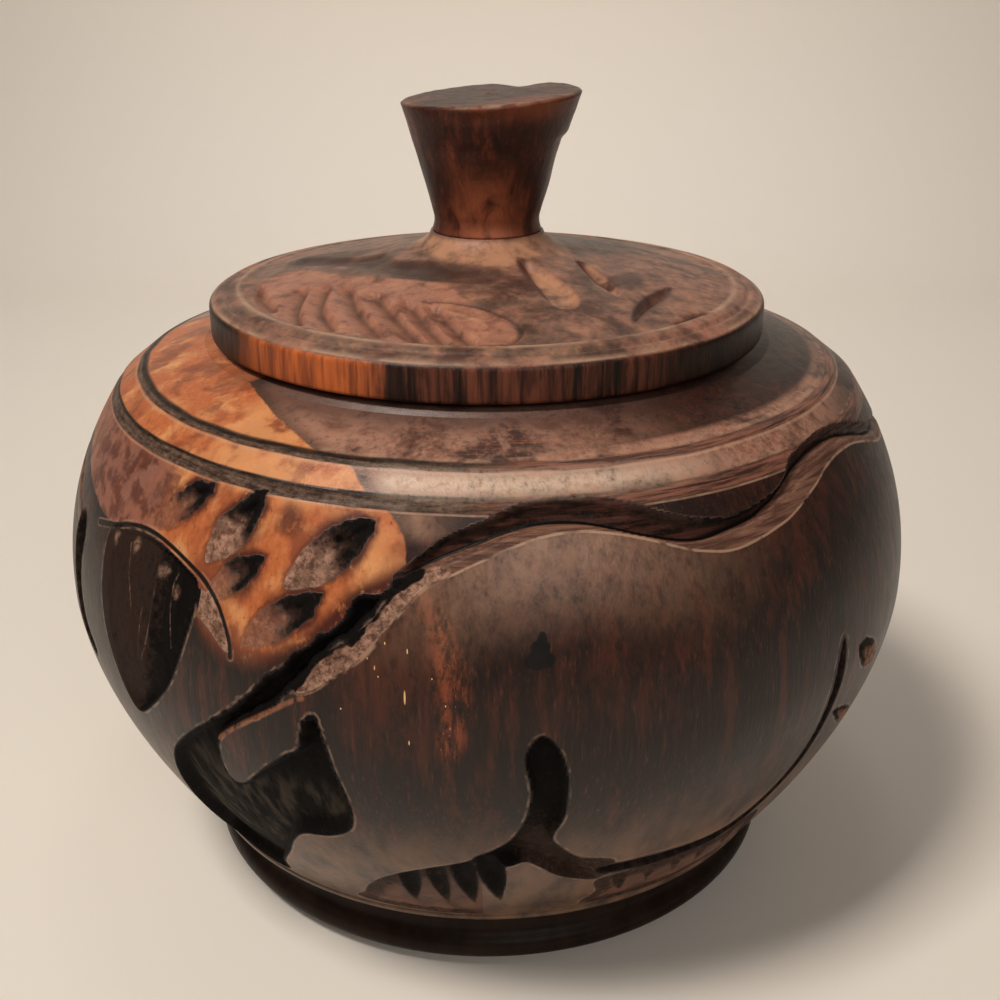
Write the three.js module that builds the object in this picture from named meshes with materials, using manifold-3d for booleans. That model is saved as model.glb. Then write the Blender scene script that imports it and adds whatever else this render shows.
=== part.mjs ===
// A small turned and carved wooden jar with a lift-off lid.
// Millimetres, +Z up, origin at the middle of the foot's base, and the carved front faces -Y.
import * as THREE from 'three';
import { mergeVertices } from 'three/addons/utils/BufferGeometryUtils.js';
import Module from 'manifold-3d';

const wasm = await Module();
wasm.setup();

// Foot: a rounded band that the jar stands on, with a narrow neck above it
const FOOT_RADIUS = 44.3;
const FOOT_BAND_RADIUS = 46.4;
const FOOT_BAND_FULL_HEIGHT = 2.5;
const FOOT_BAND_HEIGHT = 4.5;
const FOOT_EDGE_ROUND = 0.9;
const FOOT_NECK_RADIUS = 44.8;
const FOOT_NECK_RISE = 1.5;
const FOOT_HEIGHT = 11.2;

// Belly: the widest ring, and how the curve falls away above and below it
const BELLY_RADIUS = 65;
const BELLY_FOOT_RADIUS = 48.8;
const BELLY_TOP_RADIUS = 55.6;
const BELLY_LOWER_HEIGHT = 37.8;
const BELLY_UPPER_HEIGHT = 28.8;
const BELLY_LOWER_POWER = 1.7;
const BELLY_UPPER_POWER = 2.15;

// Shoulder: two turned ring grooves, then the flat seat of the lid
const RING_RADIUS = 51.8;
const RING_RISE = 2.9;
const RING_GROOVE_WIDTH = 2.2;
const RING_GROOVE_DEPTH = 1.2;
const RING_GROOVE_LEAN = 25;
const SEAT_RADIUS = 42;
const SEAT_RISE = 3;

// Hollow: it follows the wall between two shares of the belly's halves, and rounds in past them
const WALL = 9.5;
const FLOOR_THICKNESS = 13;
const FLOOR_RADIUS = 36;
const MOUTH_RADIUS = 31;
const MOUTH_DEPTH = 8.7;
const HOLLOW_UPPER_SHARE = 0.6;
const HOLLOW_LOWER_SHARE = 0.22;

// Lid: a disc with a low dome, a collar round the knob and a tapered plug below
const LID_RADIUS = 41;
const LID_RIM_HEIGHT = 5;
const LID_EDGE_ROUND = 0.6;
const LID_SEAT_GAP = 0.3;
const LID_DOME_RISE = 6;
const LID_DOME_POWER = 1.1;
const LID_COLLAR_RADIUS = 13;
const LID_COLLAR_RISE = 2.6;
const LID_COLLAR_LEDGE = 0.4;
const LID_COLLAR_BEND_IN = 0.6;
const LID_COLLAR_BEND_UP = 0.45;
const LID_RING_RADIUS = 38.6;
const LID_RING_WIDTH = 0.9;
const LID_RING_DEPTH = 0.45;
const PLUG_CLEARANCE = 0.6;
const PLUG_DEPTH = 5;
const PLUG_TAPER = 0.7;

// Knob: a flared cone on a shallow cove, whose top slants and sits a little off the axis
const KNOB_NECK_RADIUS = 7.9;
const KNOB_TOP_RADIUS = 13.1;
const KNOB_HEIGHT = 19.3;
const KNOB_COVE_HEIGHT = 3.2;
const KNOB_COVE_DEPTH = 0.2;
const KNOB_FLARE_POWER = 0.95;
const KNOB_LIP_ROUND = 0.7;
const KNOB_TILT_SIDE = 3.7;
const KNOB_TILT_FRONT = 1.7;
const KNOB_LEAN = 0.7;
const TENON_RADIUS = 4;
const TENON_LENGTH = 8;
const GLUE_GAP = 0.3;

// Carving depths
const FIELD_DEPTH = 2.6;
const GROUND_DEPTH = 1.7;
const GOUGE_DEPTH = 1.5;
const RIDGE_GROOVE_DEPTH = 2;
const LID_LEAF_DEPTH = 0.8;

// Carved figures repeat round the jar this many times
const FIGURES = 2;

// Cutting shapes stand this far proud of the surface that they cut
const CUT_MARGIN = 4;

// Faces round each turned piece, and steps along its curves
const BODY_SIDES = 60;
const LID_SIDES = 48;
const KNOB_SIDES = 36;
const BELLY_ROWS = 12;
const HOLLOW_ROWS = 5;
const SHOULDER_STEPS = 4;
const FLOOR_STEPS = 2;
const LID_ROWS = 5;
const KNOB_ROWS = 4;
const GOUGE_SIDES = 8;
const GROOVE_STEPS = 2;

// Heights that follow from the sizes above
const BELLY_Z = FOOT_HEIGHT + BELLY_LOWER_HEIGHT;
const BELLY_TOP_Z = BELLY_Z + BELLY_UPPER_HEIGHT;
const RING_Z = BELLY_TOP_Z + RING_RISE;
const SEAT_Z = RING_Z + SEAT_RISE;
const LID_Z = SEAT_Z + LID_SEAT_GAP;
const LID_TOP_Z = LID_Z + LID_RIM_HEIGHT;
const COLLAR_Z = LID_TOP_Z + LID_DOME_RISE;
const KNOB_Z = COLLAR_Z + LID_COLLAR_RISE;

// The carving is drawn on this belly height and lid radius, and stretches with the real ones
const DRAWN_FOOT_Z = 11.2;
const DRAWN_TOP_Z = 77.8;
const DRAWN_LID_RADIUS = 41;

const lerp = (a, b, t) => a + (b - a) * t;
const degrees = (value) => value * Math.PI / 180;

function carvedHeight(drawn) {
  const share = (drawn - DRAWN_FOOT_Z) / (DRAWN_TOP_Z - DRAWN_FOOT_Z);
  return lerp(FOOT_HEIGHT, BELLY_TOP_Z, share);
}

// Outer radius of the belly and shoulder at a height
function outerRadius(z) {
  if (z > RING_Z) return lerp(RING_RADIUS, SEAT_RADIUS, (z - RING_Z) / SEAT_RISE);
  if (z > BELLY_TOP_Z) return lerp(BELLY_TOP_RADIUS, RING_RADIUS, (z - BELLY_TOP_Z) / RING_RISE);
  if (z > BELLY_Z) {
    const up = (z - BELLY_Z) / BELLY_UPPER_HEIGHT;
    return BELLY_RADIUS - (BELLY_RADIUS - BELLY_TOP_RADIUS) * up ** BELLY_UPPER_POWER;
  }
  const down = (BELLY_Z - z) / BELLY_LOWER_HEIGHT;
  return BELLY_RADIUS - (BELLY_RADIUS - BELLY_FOOT_RADIUS) * down ** BELLY_LOWER_POWER;
}

// Solids

function toSolid(geometry) {
  const plain = geometry.clone();
  plain.deleteAttribute('normal');
  plain.deleteAttribute('uv');
  const merged = mergeVertices(plain, 1e-5);
  const mesh = new wasm.Mesh({
    numProp: 3,
    vertProperties: new Float32Array(merged.attributes.position.array),
    triVerts: new Uint32Array(merged.index.array),
  });
  return new wasm.Manifold(mesh);
}

function toMesh(solid, name, material) {
  const { numProp, vertProperties, triVerts } = solid.getMesh();
  const geometry = new THREE.BufferGeometry();
  const positions = new Float32Array(vertProperties.length / numProp * 3);
  for (let i = 0; i < positions.length / 3; i += 1) {
    for (let k = 0; k < 3; k += 1) positions[3 * i + k] = vertProperties[numProp * i + k];
  }
  geometry.setAttribute('position', new THREE.BufferAttribute(positions, 3));
  geometry.setIndex(new THREE.BufferAttribute(new Uint32Array(triVerts), 1));
  geometry.computeVertexNormals();
  const mesh = new THREE.Mesh(geometry, material);
  mesh.name = name;
  return mesh;
}

// A turned shape from [radius, height] points; LatheGeometry turns about Y, so it is stood up
function lathe(points, sides) {
  const profile = points.map(([radius, height]) => new THREE.Vector2(radius, height));
  const geometry = new THREE.LatheGeometry(profile, sides);
  geometry.rotateX(Math.PI / 2);
  return geometry;
}

const turned = (points, sides) => toSolid(lathe(points, sides));

// Points inside a quarter of an ellipse that leaves its first end along the radius
function quarterRound([startRadius, startZ], [endRadius, endZ], steps) {
  const points = [];
  for (let step = 1; step < steps; step += 1) {
    const turn = degrees(90) * step / steps;
    points.push([lerp(startRadius, endRadius, Math.sin(turn)), lerp(endZ, startZ, Math.cos(turn))]);
  }
  return points;
}

// A point on a ray from the axis: 0 degrees faces -Y, and positive turns towards +X
function onRay(angle, radius, z) {
  return [radius * Math.sin(degrees(angle)), -radius * Math.cos(degrees(angle)), z];
}

// The side faces of a strip or wall made of rings that all have the same number of points
function ringSides(rings) {
  const positions = rings.flat(2);
  const count = rings[0].length;
  const index = [];
  for (let r = 0; r + 1 < rings.length; r += 1) {
    for (let i = 0; i < count; i += 1) {
      const a = r * count + i;
      const b = r * count + (i + 1) % count;
      index.push(a, b, b + count, a, b + count, a + count);
    }
  }
  return { positions, index, count };
}

function closedSolid(positions, index) {
  const geometry = new THREE.BufferGeometry();
  geometry.setAttribute('position', new THREE.Float32BufferAttribute(positions, 3));
  geometry.setIndex(index);
  return toSolid(geometry);
}

// A radial prism over an outline of [angle, drawn height] points, from inside the wall to outside
function radialPrism(outline, turn) {
  const flat = outline.map(([angle, height]) => new THREE.Vector2(angle, height));
  if (THREE.ShapeUtils.isClockWise(flat)) flat.reverse();
  const inner = BELLY_FOOT_RADIUS - 2 * FIELD_DEPTH;
  const outer = BELLY_RADIUS + 2 * CUT_MARGIN;
  const rings = [inner, outer].map((radius) => (
    flat.map((point) => onRay(point.x + turn, radius, carvedHeight(point.y)))
  ));
  const { positions, index, count } = ringSides(rings);
  for (const [a, b, c] of THREE.ShapeUtils.triangulateShape(flat, [])) {
    index.push(c, b, a);
    index.push(a + count, b + count, c + count);
  }
  return closedSolid(positions, index);
}

// The skin of the belly and shoulder between its surface less the depth and a little outside it
function skin(depth) {
  const heights = [];
  for (let row = 0; row <= BELLY_ROWS; row += 1) {
    heights.push(lerp(FOOT_HEIGHT, BELLY_TOP_Z, row / BELLY_ROWS));
  }
  heights.push(RING_Z);
  const outside = heights.map((z) => [outerRadius(z) + CUT_MARGIN, z]);
  const inside = heights.map((z) => [outerRadius(z) - depth, z]);
  return turned([...outside, ...inside.reverse(), outside[0]], BODY_SIDES);
}

// An oval gouge mark from one point to another, as an outline
function gouge([fromX, fromY], [toX, toY], width) {
  const along = new THREE.Vector2(toX - fromX, toY - fromY);
  const side = new THREE.Vector2(-along.y, along.x).setLength(width / 2);
  const outline = [];
  for (let i = 0; i < GOUGE_SIDES; i += 1) {
    const turn = degrees(360) * i / GOUGE_SIDES;
    const share = (1 - Math.cos(turn)) / 2;
    const off = Math.sin(turn);
    outline.push([fromX + along.x * share + side.x * off, fromY + along.y * share + side.y * off]);
  }
  return outline;
}

// The carving, as [angle, drawn height] points

// Field in front of the figure: the slanting cut, and the hollow below it
const FRONT_FIELD = [
  [-7, 70.8], [-11, 68.6], [-14, 67], [-18, 62.2], [-24, 56.3], [-30, 49.6], [-36, 44], [-41, 38.5],
  [-44.5, 32], [-47, 25], [-49, 18], [-50, 12.5], [-36, 12.5], [-32, 18], [-28, 23.3], [-25.5, 27.5],
  [-23, 30.4], [-19, 31.6], [-16, 33.8], [-15, 37], [-15.2, 41], [-16.3, 46], [-17, 50.5], [-18, 52.8],
  [-19.6, 51.6], [-20.2, 47.6], [-22, 46], [-25, 43], [-29, 38.4], [-31, 38.2], [-31.5, 41.4], [-30.7, 45.3],
  [-27, 49], [-23, 52], [-19, 55.2], [-17, 57.5], [-15, 61.3], [-13, 63.6], [-9, 66.9], [-6.5, 69],
];

// Hollow between the two legs
const LEG_GAP = [
  [6.3, 51.8], [5, 50.8], [4.2, 48.5], [4.8, 45], [5, 42], [4.4, 38], [3, 34.5], [1, 32.3], [-1.5, 30.2],
  [0.5, 28.6], [3, 28], [5, 29], [7, 27.3], [9, 25], [12, 23], [16, 21.8], [17, 26.6], [12, 29],
  [9.3, 32], [8, 34.4], [9, 38], [9.2, 42], [9, 46], [8, 49.8],
];

// Groove under the hind foot that turns up into the tail line
const TAIL_LINE = [
  [15, 25.6], [22, 25.8], [30, 25.4], [35, 26], [39, 29], [42, 33.5], [43.5, 38], [44.4, 44], [45, 50],
  [46, 54], [47.4, 53], [47.6, 47], [46.6, 40], [45, 33], [41, 26.5], [36, 22.5], [30, 21.8], [22, 22],
  [15, 22.9],
];

// The ear, a pointed leaf shape
const EAR = [
  [-53, 66.2], [-48, 67.8], [-44, 68.3], [-40, 67.7], [-36.5, 66.6], [-34, 65.2], [-34, 62], [-35, 58],
  [-36.5, 53.5], [-38.5, 49.6], [-42, 45.4], [-46, 42], [-48.2, 42.4], [-50, 47.6], [-52, 53], [-53.2, 59],
];

// The line that closes the neighbouring figure
const BACK_LINE = [
  [-62.5, 65], [-60.8, 62], [-61.4, 56], [-60, 50.5], [-57, 46.5], [-59, 44], [-63, 46.5], [-66, 53],
  [-66.8, 60], [-65.4, 64],
];

// Leaf-shaped gouge marks: ends and width
const LEAF_GOUGES = [
  [[-44, 68.8], [-35.5, 76], 4],
  [[-33.4, 68], [-27.4, 76.6], 4.6],
  [[-21.6, 67.6], [-12.6, 75.4], 5.2],
  [[-33, 64.6], [-26, 70], 3.2],
  [[-26.6, 60.2], [-17.6, 67.4], 4.2],
  [[-57.5, 70.2], [-47, 75.2], 3],
  [[50.4, 50.6], [58, 44.4], 4.2],
  [[47.4, 41.4], [59, 33.4], 3],
];

// Grass cuts at the figure's feet: ends and width
const GRASS_CUTS = [
  [[-17.6, 17], [-12.4, 22.6], 2.4],
  [[-12.4, 15], [-10.2, 24.8], 3.2],
  [[-7.8, 15], [-6, 26.6], 2.6],
  [[-4.4, 14.4], [-3.4, 28], 3],
  [[1.6, 16], [-0.6, 29.4], 3.6],
  [[21, 13.6], [17.6, 21], 2.2],
  [[27, 13.6], [22.6, 21], 2.2],
  [[34, 14], [28.6, 21], 2.2],
];

// The ridge groove, from the slanting cut along the back and on to the next figure:
// angle, height of its upper edge, of its deepest line and of its lower edge
const RIDGE_GROOVE = [
  [-10, 70, 69.3, 68], [-7, 72.6, 71.2, 69.2], [-4, 74.6, 72.6, 70.2], [0, 76, 74, 71.9],
  [4, 77.5, 75.2, 73.4], [9, 78.2, 75.6, 74.4], [14, 77.8, 74.9, 74.1], [19, 76.4, 73.4, 72.9],
  [25, 74.6, 72, 70.8], [30, 73.7, 72.3, 70], [35, 74.2, 73, 70.5], [40, 75.3, 74.6, 71.5],
  [45, 77.8, 76.4, 73.1], [51, 78.5, 77.3, 74.9], [57, 78.3, 76.9, 75.2], [63, 77, 75.5, 74.2],
  [70, 75, 73.5, 72], [78, 73.4, 72, 70.4], [88, 72, 70.6, 69], [98, 70.4, 69, 67.4],
  [108, 67.6, 66.2, 64.6], [116, 64, 62.6, 61],
];

function catmullRom(a, b, c, d, t) {
  const slopeB = (c - a) / 2;
  const slopeC = (d - b) / 2;
  const square = t * t;
  const cube = square * t;
  return b * (2 * cube - 3 * square + 1) + slopeB * (cube - 2 * square + t)
    + c * (3 * square - 2 * cube) + slopeC * (cube - square);
}

function grooveSection([angle, upper, deepest, lower], turn) {
  const [high, mid, low] = [upper, deepest, lower].map(carvedHeight);
  return [
    onRay(angle + turn, outerRadius(low) + CUT_MARGIN, low),
    onRay(angle + turn, outerRadius(low), low),
    onRay(angle + turn, outerRadius(mid) - RIDGE_GROOVE_DEPTH, mid),
    onRay(angle + turn, outerRadius(high), high),
    onRay(angle + turn, outerRadius(high) + CUT_MARGIN, high),
  ];
}

function ridgeGroove(turn) {
  const rows = RIDGE_GROOVE;
  const last = rows.length - 1;
  const rings = [];
  for (let i = 0; i < last; i += 1) {
    const before = rows[Math.max(i - 1, 0)];
    const after = rows[Math.min(i + 2, last)];
    const steps = i + 1 === last ? GROOVE_STEPS + 1 : GROOVE_STEPS;
    for (let step = 0; step < steps; step += 1) {
      const at = rows[i].map((value, k) => (
        catmullRom(before[k], value, rows[i + 1][k], after[k], step / GROOVE_STEPS)
      ));
      rings.push(grooveSection(at, turn));
    }
  }
  const { positions, index, count } = ringSides(rings);
  const end = rings.length * count - count;
  for (let i = 1; i + 1 < count; i += 1) {
    index.push(0, i + 1, i);
    index.push(end, end + i, end + i + 1);
  }
  return closedSolid(positions, index);
}

// Jar body

// A V groove at a ring of the shoulder: its lips lie towards the rings below and above
function ringGroove(below, ring, above) {
  const centre = new THREE.Vector2(...ring);
  const lip = (towards) => (
    new THREE.Vector2(...towards).sub(centre).setLength(RING_GROOVE_WIDTH / 2).add(centre).toArray()
  );
  const lean = degrees(RING_GROOVE_LEAN);
  const bottom = [
    centre.x - RING_GROOVE_DEPTH * Math.sin(lean),
    centre.y - RING_GROOVE_DEPTH * Math.cos(lean),
  ];
  return [lip(below), bottom, lip(above)];
}

// The inside of the jar, from the mouth down to the middle of the floor
function hollowProfile() {
  const neck = [MOUTH_RADIUS, SEAT_Z - MOUTH_DEPTH];
  const upperZ = BELLY_Z + BELLY_UPPER_HEIGHT * HOLLOW_UPPER_SHARE;
  const lowerZ = lerp(FLOOR_THICKNESS, BELLY_Z, HOLLOW_LOWER_SHARE);
  const floor = [FLOOR_RADIUS, FLOOR_THICKNESS];
  const wall = [];
  for (let row = 0; row <= HOLLOW_ROWS; row += 1) {
    const z = lerp(upperZ, lowerZ, row / HOLLOW_ROWS);
    wall.push([outerRadius(z) - WALL, z]);
  }
  const shoulder = quarterRound(neck, wall[0], SHOULDER_STEPS);
  const corner = quarterRound(floor, wall[HOLLOW_ROWS], FLOOR_STEPS).reverse();
  return [neck, ...shoulder, ...wall, ...corner, floor, [0, FLOOR_THICKNESS]];
}

function bodyProfile() {
  const points = [
    [0, 0],
    [FOOT_RADIUS - FOOT_EDGE_ROUND, 0],
    [FOOT_RADIUS, FOOT_EDGE_ROUND],
    [FOOT_BAND_RADIUS, FOOT_BAND_FULL_HEIGHT],
    [FOOT_BAND_RADIUS, FOOT_BAND_HEIGHT],
    [FOOT_NECK_RADIUS, FOOT_BAND_HEIGHT + FOOT_NECK_RISE],
    [FOOT_NECK_RADIUS, FOOT_HEIGHT - FOOT_NECK_RISE],
  ];
  for (let row = 0; row < BELLY_ROWS; row += 1) {
    const z = lerp(FOOT_HEIGHT, BELLY_TOP_Z, row / BELLY_ROWS);
    points.push([outerRadius(z), z]);
  }
  const outerRing = [BELLY_TOP_RADIUS, BELLY_TOP_Z];
  const innerRing = [RING_RADIUS, RING_Z];
  const seat = [SEAT_RADIUS, SEAT_Z];
  points.push(...ringGroove(points[points.length - 1], outerRing, innerRing));
  points.push(...ringGroove(outerRing, innerRing, seat));
  points.push(seat, [MOUTH_RADIUS, SEAT_Z]);
  return [...points, ...hollowProfile()];
}

function jarBody() {
  let body = turned(bodyProfile(), BODY_SIDES);
  const gouges = [...LEAF_GOUGES, ...GRASS_CUTS].map((mark) => gouge(...mark));
  const layers = [
    [skin(FIELD_DEPTH), [FRONT_FIELD, LEG_GAP, EAR, BACK_LINE]],
    [skin(GROUND_DEPTH), [TAIL_LINE]],
    [skin(GOUGE_DEPTH), gouges],
  ];
  for (let figure = 0; figure < FIGURES; figure += 1) {
    const turn = figure * 360 / FIGURES;
    body = body.subtract(ridgeGroove(turn));
    for (const [layer, outlines] of layers) {
      for (const outline of outlines) {
        body = body.subtract(layer.intersect(radialPrism(outline, turn)));
      }
    }
  }
  return body;
}

// Lid

function lidTop(radius) {
  if (radius < LID_COLLAR_RADIUS) return COLLAR_Z;
  const out = (radius - LID_COLLAR_RADIUS) / (LID_RADIUS - LID_COLLAR_RADIUS);
  return COLLAR_Z - LID_DOME_RISE * out ** LID_DOME_POWER;
}

const onLid = (radius) => [radius, lidTop(radius)];

function lidProfile() {
  const plugRadius = MOUTH_RADIUS - PLUG_CLEARANCE;
  const plugZ = LID_Z - PLUG_DEPTH;
  const holeRadius = TENON_RADIUS + GLUE_GAP;
  const holeZ = KNOB_Z - TENON_LENGTH - GLUE_GAP;
  const collarTopRadius = KNOB_NECK_RADIUS + LID_COLLAR_LEDGE;
  const ringInside = LID_RING_RADIUS - LID_RING_WIDTH / 2;
  const points = [
    [0, plugZ],
    [plugRadius - PLUG_TAPER, plugZ],
    [plugRadius, LID_Z],
    [LID_RADIUS - LID_EDGE_ROUND, LID_Z],
    [LID_RADIUS, LID_Z + LID_EDGE_ROUND],
    [LID_RADIUS, LID_TOP_Z - LID_EDGE_ROUND],
    onLid(LID_RADIUS - LID_EDGE_ROUND),
    onLid(LID_RING_RADIUS + LID_RING_WIDTH / 2),
    [LID_RING_RADIUS, lidTop(LID_RING_RADIUS) - LID_RING_DEPTH],
  ];
  for (let row = 0; row <= LID_ROWS; row += 1) {
    points.push(onLid(lerp(ringInside, LID_COLLAR_RADIUS, row / LID_ROWS)));
  }
  points.push([
    lerp(LID_COLLAR_RADIUS, collarTopRadius, LID_COLLAR_BEND_IN),
    lerp(COLLAR_Z, KNOB_Z, LID_COLLAR_BEND_UP),
  ]);
  points.push([collarTopRadius, KNOB_Z], [holeRadius, KNOB_Z], [holeRadius, holeZ], [0, holeZ]);
  return points;
}

// The carved leaf on the lid, in plan: [x, y] from the axis of the lid as drawn
const LID_LEAF = [
  [-33, -7], [-31, -2.5], [-27, -2.6], [-22, -8], [-17, -12], [-11, -15], [-5, -18.5], [-3, -22.5],
  [0, -26.5], [3, -29.5], [4.4, -33], [3.4, -35.6], [-3, -35.9], [-10, -34.6], [-16, -32], [-22, -28.6],
  [-27, -24], [-31, -18.4], [-33, -13],
];

// Drop and slit cuts on the lid: ends and width
const LID_CUTS = [
  [[4.8, -11.2], [11.4, -25.2], 4.6],
  [[12.6, -8], [18.4, -18.4], 3],
  [[25.6, -12.8], [19.6, -27.6], 2.2],
  [[30.2, -20.4], [25, -25.8], 1.2],
  [[-27.5, 4.5], [-3, -17], 4.6],
];

function lidCut(outline) {
  const stretch = LID_RADIUS / DRAWN_LID_RADIUS;
  const shape = new THREE.Shape(outline.map(([x, y]) => new THREE.Vector2(x * stretch, y * stretch)));
  const low = LID_TOP_Z - LID_LEAF_DEPTH - CUT_MARGIN;
  const depth = COLLAR_Z + CUT_MARGIN - low;
  const geometry = new THREE.ExtrudeGeometry(shape, { depth, bevelEnabled: false, steps: 1 });
  geometry.translate(0, 0, low);
  return toSolid(geometry);
}

function lid() {
  const top = COLLAR_Z + CUT_MARGIN;
  const points = [[0, COLLAR_Z - LID_LEAF_DEPTH]];
  for (let row = 0; row <= LID_ROWS; row += 1) {
    const radius = lerp(LID_COLLAR_RADIUS, LID_RADIUS, row / LID_ROWS);
    points.push([radius, lidTop(radius) - LID_LEAF_DEPTH]);
  }
  const above = turned([...points, [LID_RADIUS, top], [0, top]], LID_SIDES);
  let piece = turned(lidProfile(), LID_SIDES);
  for (const outline of [LID_LEAF, ...LID_CUTS.map((mark) => gouge(...mark))]) {
    piece = piece.subtract(above.intersect(lidCut(outline)));
  }
  return piece;
}

// Knob

// Above the cove, every point shears up or down with its place, and out towards the lean
function slantTop(geometry) {
  const place = geometry.attributes.position;
  for (let i = 0; i < place.count; i += 1) {
    const up = place.getZ(i) - KNOB_Z - KNOB_COVE_HEIGHT;
    const share = Math.max(0, up / (KNOB_HEIGHT - KNOB_COVE_HEIGHT));
    const slant = place.getX(i) * Math.tan(degrees(KNOB_TILT_SIDE))
      + place.getY(i) * Math.tan(degrees(KNOB_TILT_FRONT));
    place.setZ(i, place.getZ(i) + slant * share);
    place.setX(i, place.getX(i) + KNOB_LEAN * share);
  }
}

function knob() {
  const coneHeight = KNOB_HEIGHT - KNOB_COVE_HEIGHT;
  const coneZ = KNOB_Z + KNOB_COVE_HEIGHT;
  const topZ = KNOB_Z + KNOB_HEIGHT;
  const points = [
    [0, KNOB_Z - TENON_LENGTH],
    [TENON_RADIUS, KNOB_Z - TENON_LENGTH],
    [TENON_RADIUS, KNOB_Z + GLUE_GAP],
    [KNOB_NECK_RADIUS, KNOB_Z + GLUE_GAP],
    [KNOB_NECK_RADIUS - KNOB_COVE_DEPTH, KNOB_Z + KNOB_COVE_HEIGHT / 2],
    [KNOB_NECK_RADIUS, coneZ],
  ];
  for (let row = 1; row < KNOB_ROWS; row += 1) {
    const share = row / KNOB_ROWS;
    const radius = lerp(KNOB_NECK_RADIUS, KNOB_TOP_RADIUS, share ** KNOB_FLARE_POWER);
    points.push([radius, coneZ + coneHeight * share]);
  }
  points.push([KNOB_TOP_RADIUS, topZ - KNOB_LIP_ROUND], [KNOB_TOP_RADIUS - KNOB_LIP_ROUND, topZ], [0, topZ]);
  const geometry = lathe(points, KNOB_SIDES);
  slantTop(geometry);
  return toSolid(geometry);
}

// The assembly

const wood = (color, roughness) => new THREE.MeshStandardMaterial({ color, roughness, metalness: 0 });

const jar = new THREE.Group();
jar.add(toMesh(jarBody(), 'jar_body', wood(0x4a2c1e, 0.45)));
jar.add(toMesh(lid(), 'lid', wood(0x5b3726, 0.45)));
jar.add(toMesh(knob(), 'knob', wood(0x4f2a1b, 0.4)));

export default jar;
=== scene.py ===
"""A small turned and carved wooden jar with a lift-off lid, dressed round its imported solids."""
import math

import bpy
import numpy as np
from mathutils import Euler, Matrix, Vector


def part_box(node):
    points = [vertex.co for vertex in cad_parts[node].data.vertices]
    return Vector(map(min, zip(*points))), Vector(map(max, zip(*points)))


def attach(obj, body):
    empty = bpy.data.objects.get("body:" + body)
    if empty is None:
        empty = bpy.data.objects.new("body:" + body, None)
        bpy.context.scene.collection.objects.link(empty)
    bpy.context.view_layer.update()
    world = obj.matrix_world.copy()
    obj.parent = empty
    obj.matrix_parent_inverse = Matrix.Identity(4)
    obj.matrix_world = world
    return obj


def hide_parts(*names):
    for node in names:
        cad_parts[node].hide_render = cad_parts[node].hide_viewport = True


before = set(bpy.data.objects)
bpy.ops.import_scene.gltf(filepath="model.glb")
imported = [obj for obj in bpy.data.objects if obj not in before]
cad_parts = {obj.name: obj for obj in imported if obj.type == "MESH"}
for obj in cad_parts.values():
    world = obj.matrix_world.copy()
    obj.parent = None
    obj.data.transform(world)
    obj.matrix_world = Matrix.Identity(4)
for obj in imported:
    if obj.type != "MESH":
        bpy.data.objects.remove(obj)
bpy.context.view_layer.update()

# Sizes are in millimetres, and the ones that the frame holds come from its nodes' boxes
MM = 0.001
BODY_HIGH = np.array(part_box("jar_body")[1]) / MM
LID_LOW, LID_HIGH = (np.array(corner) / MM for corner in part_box("lid"))
KNOB_LOW, KNOB_HIGH = (np.array(corner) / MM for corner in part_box("knob"))

# Where the turned profiles meet the axis
AXIS_RADIUS = 0.6
KNOB_AXIS_RADIUS = 0.4

# Foot
FOOT_RADIUS = 44.3
FOOT_BAND_RADIUS = 46.4
FOOT_BAND_FULL_HEIGHT = 2.5
FOOT_BAND_HEIGHT = 4.5
FOOT_EDGE_ROUND = 0.9
FOOT_NECK_RADIUS = 44.8
FOOT_NECK_RISE = 1.5
FOOT_HEIGHT = 11.2

# Belly and shoulder
BELLY_RADIUS = BODY_HIGH[0]
BELLY_FOOT_RADIUS = 48.8
BELLY_TOP_RADIUS = 55.6
BELLY_Z = 49
BELLY_TOP_Z = 77.8
BELLY_LOWER_POWER = 1.7
BELLY_UPPER_POWER = 2.15
RING_RADIUS = 51.8
RING_Z = 80.7
SEAT_RADIUS = 42
SEAT_Z = BODY_HIGH[2]

# Hollow
WALL = 9.5
FLOOR_Z = 13
FLOOR_RADIUS = 36
MOUTH_RADIUS = 31
MOUTH_EDGE_ROUND = 0.5
NECK_Z = 75
HOLLOW_TOP_Z = 66.3
HOLLOW_LOW_Z = 20.9

# Lid
LID_RADIUS = LID_HIGH[0]
LID_Z = 84
LID_RIM_Z = 86
LID_EDGE_ROUND = 0.6
LID_EDGE_Z = 88.7
PLUG_RADIUS = 30.4
PLUG_TAPER = 0.7
COLLAR_RADIUS = 8.3
HOLE_RADIUS = 4.3
HOLE_Z = 89.3

# Knob
KNOB_Z = LID_HIGH[2]
KNOB_GLUE_LINE = 0.05
KNOB_NECK_RADIUS = 7.9
KNOB_TOP_RADIUS = 13.0
KNOB_HEIGHT = 19.3
KNOB_COVE_HEIGHT = 3.2
KNOB_EDGE_ROUND = 0.4
KNOB_TILTS = (3.7, 1.7)
KNOB_LEAN = 0.7
TENON_RADIUS = 4
TENON_ROUND = 0.3

# Mesh spacing: fine where the surface is carved, coarse where it is only turned
CARVED_ANGLES = (-69, 62)
FRONT_ANGLE = 0.27
BACK_ANGLE = 0.5
COARSE_ANGLE = 1.0
BELLY_SPACING = 0.3
SHOULDER_SPACING = 0.24
FOOT_SPACING = 0.7
INSIDE_SPACING = 4
LID_COLUMNS = 720
LID_TOP_SPACING = 0.32
LID_SIDE_SPACING = 0.4
LID_UNDER_SPACING = 2.5
KNOB_COLUMNS = 240
KNOB_SPACING = 0.3

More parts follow.
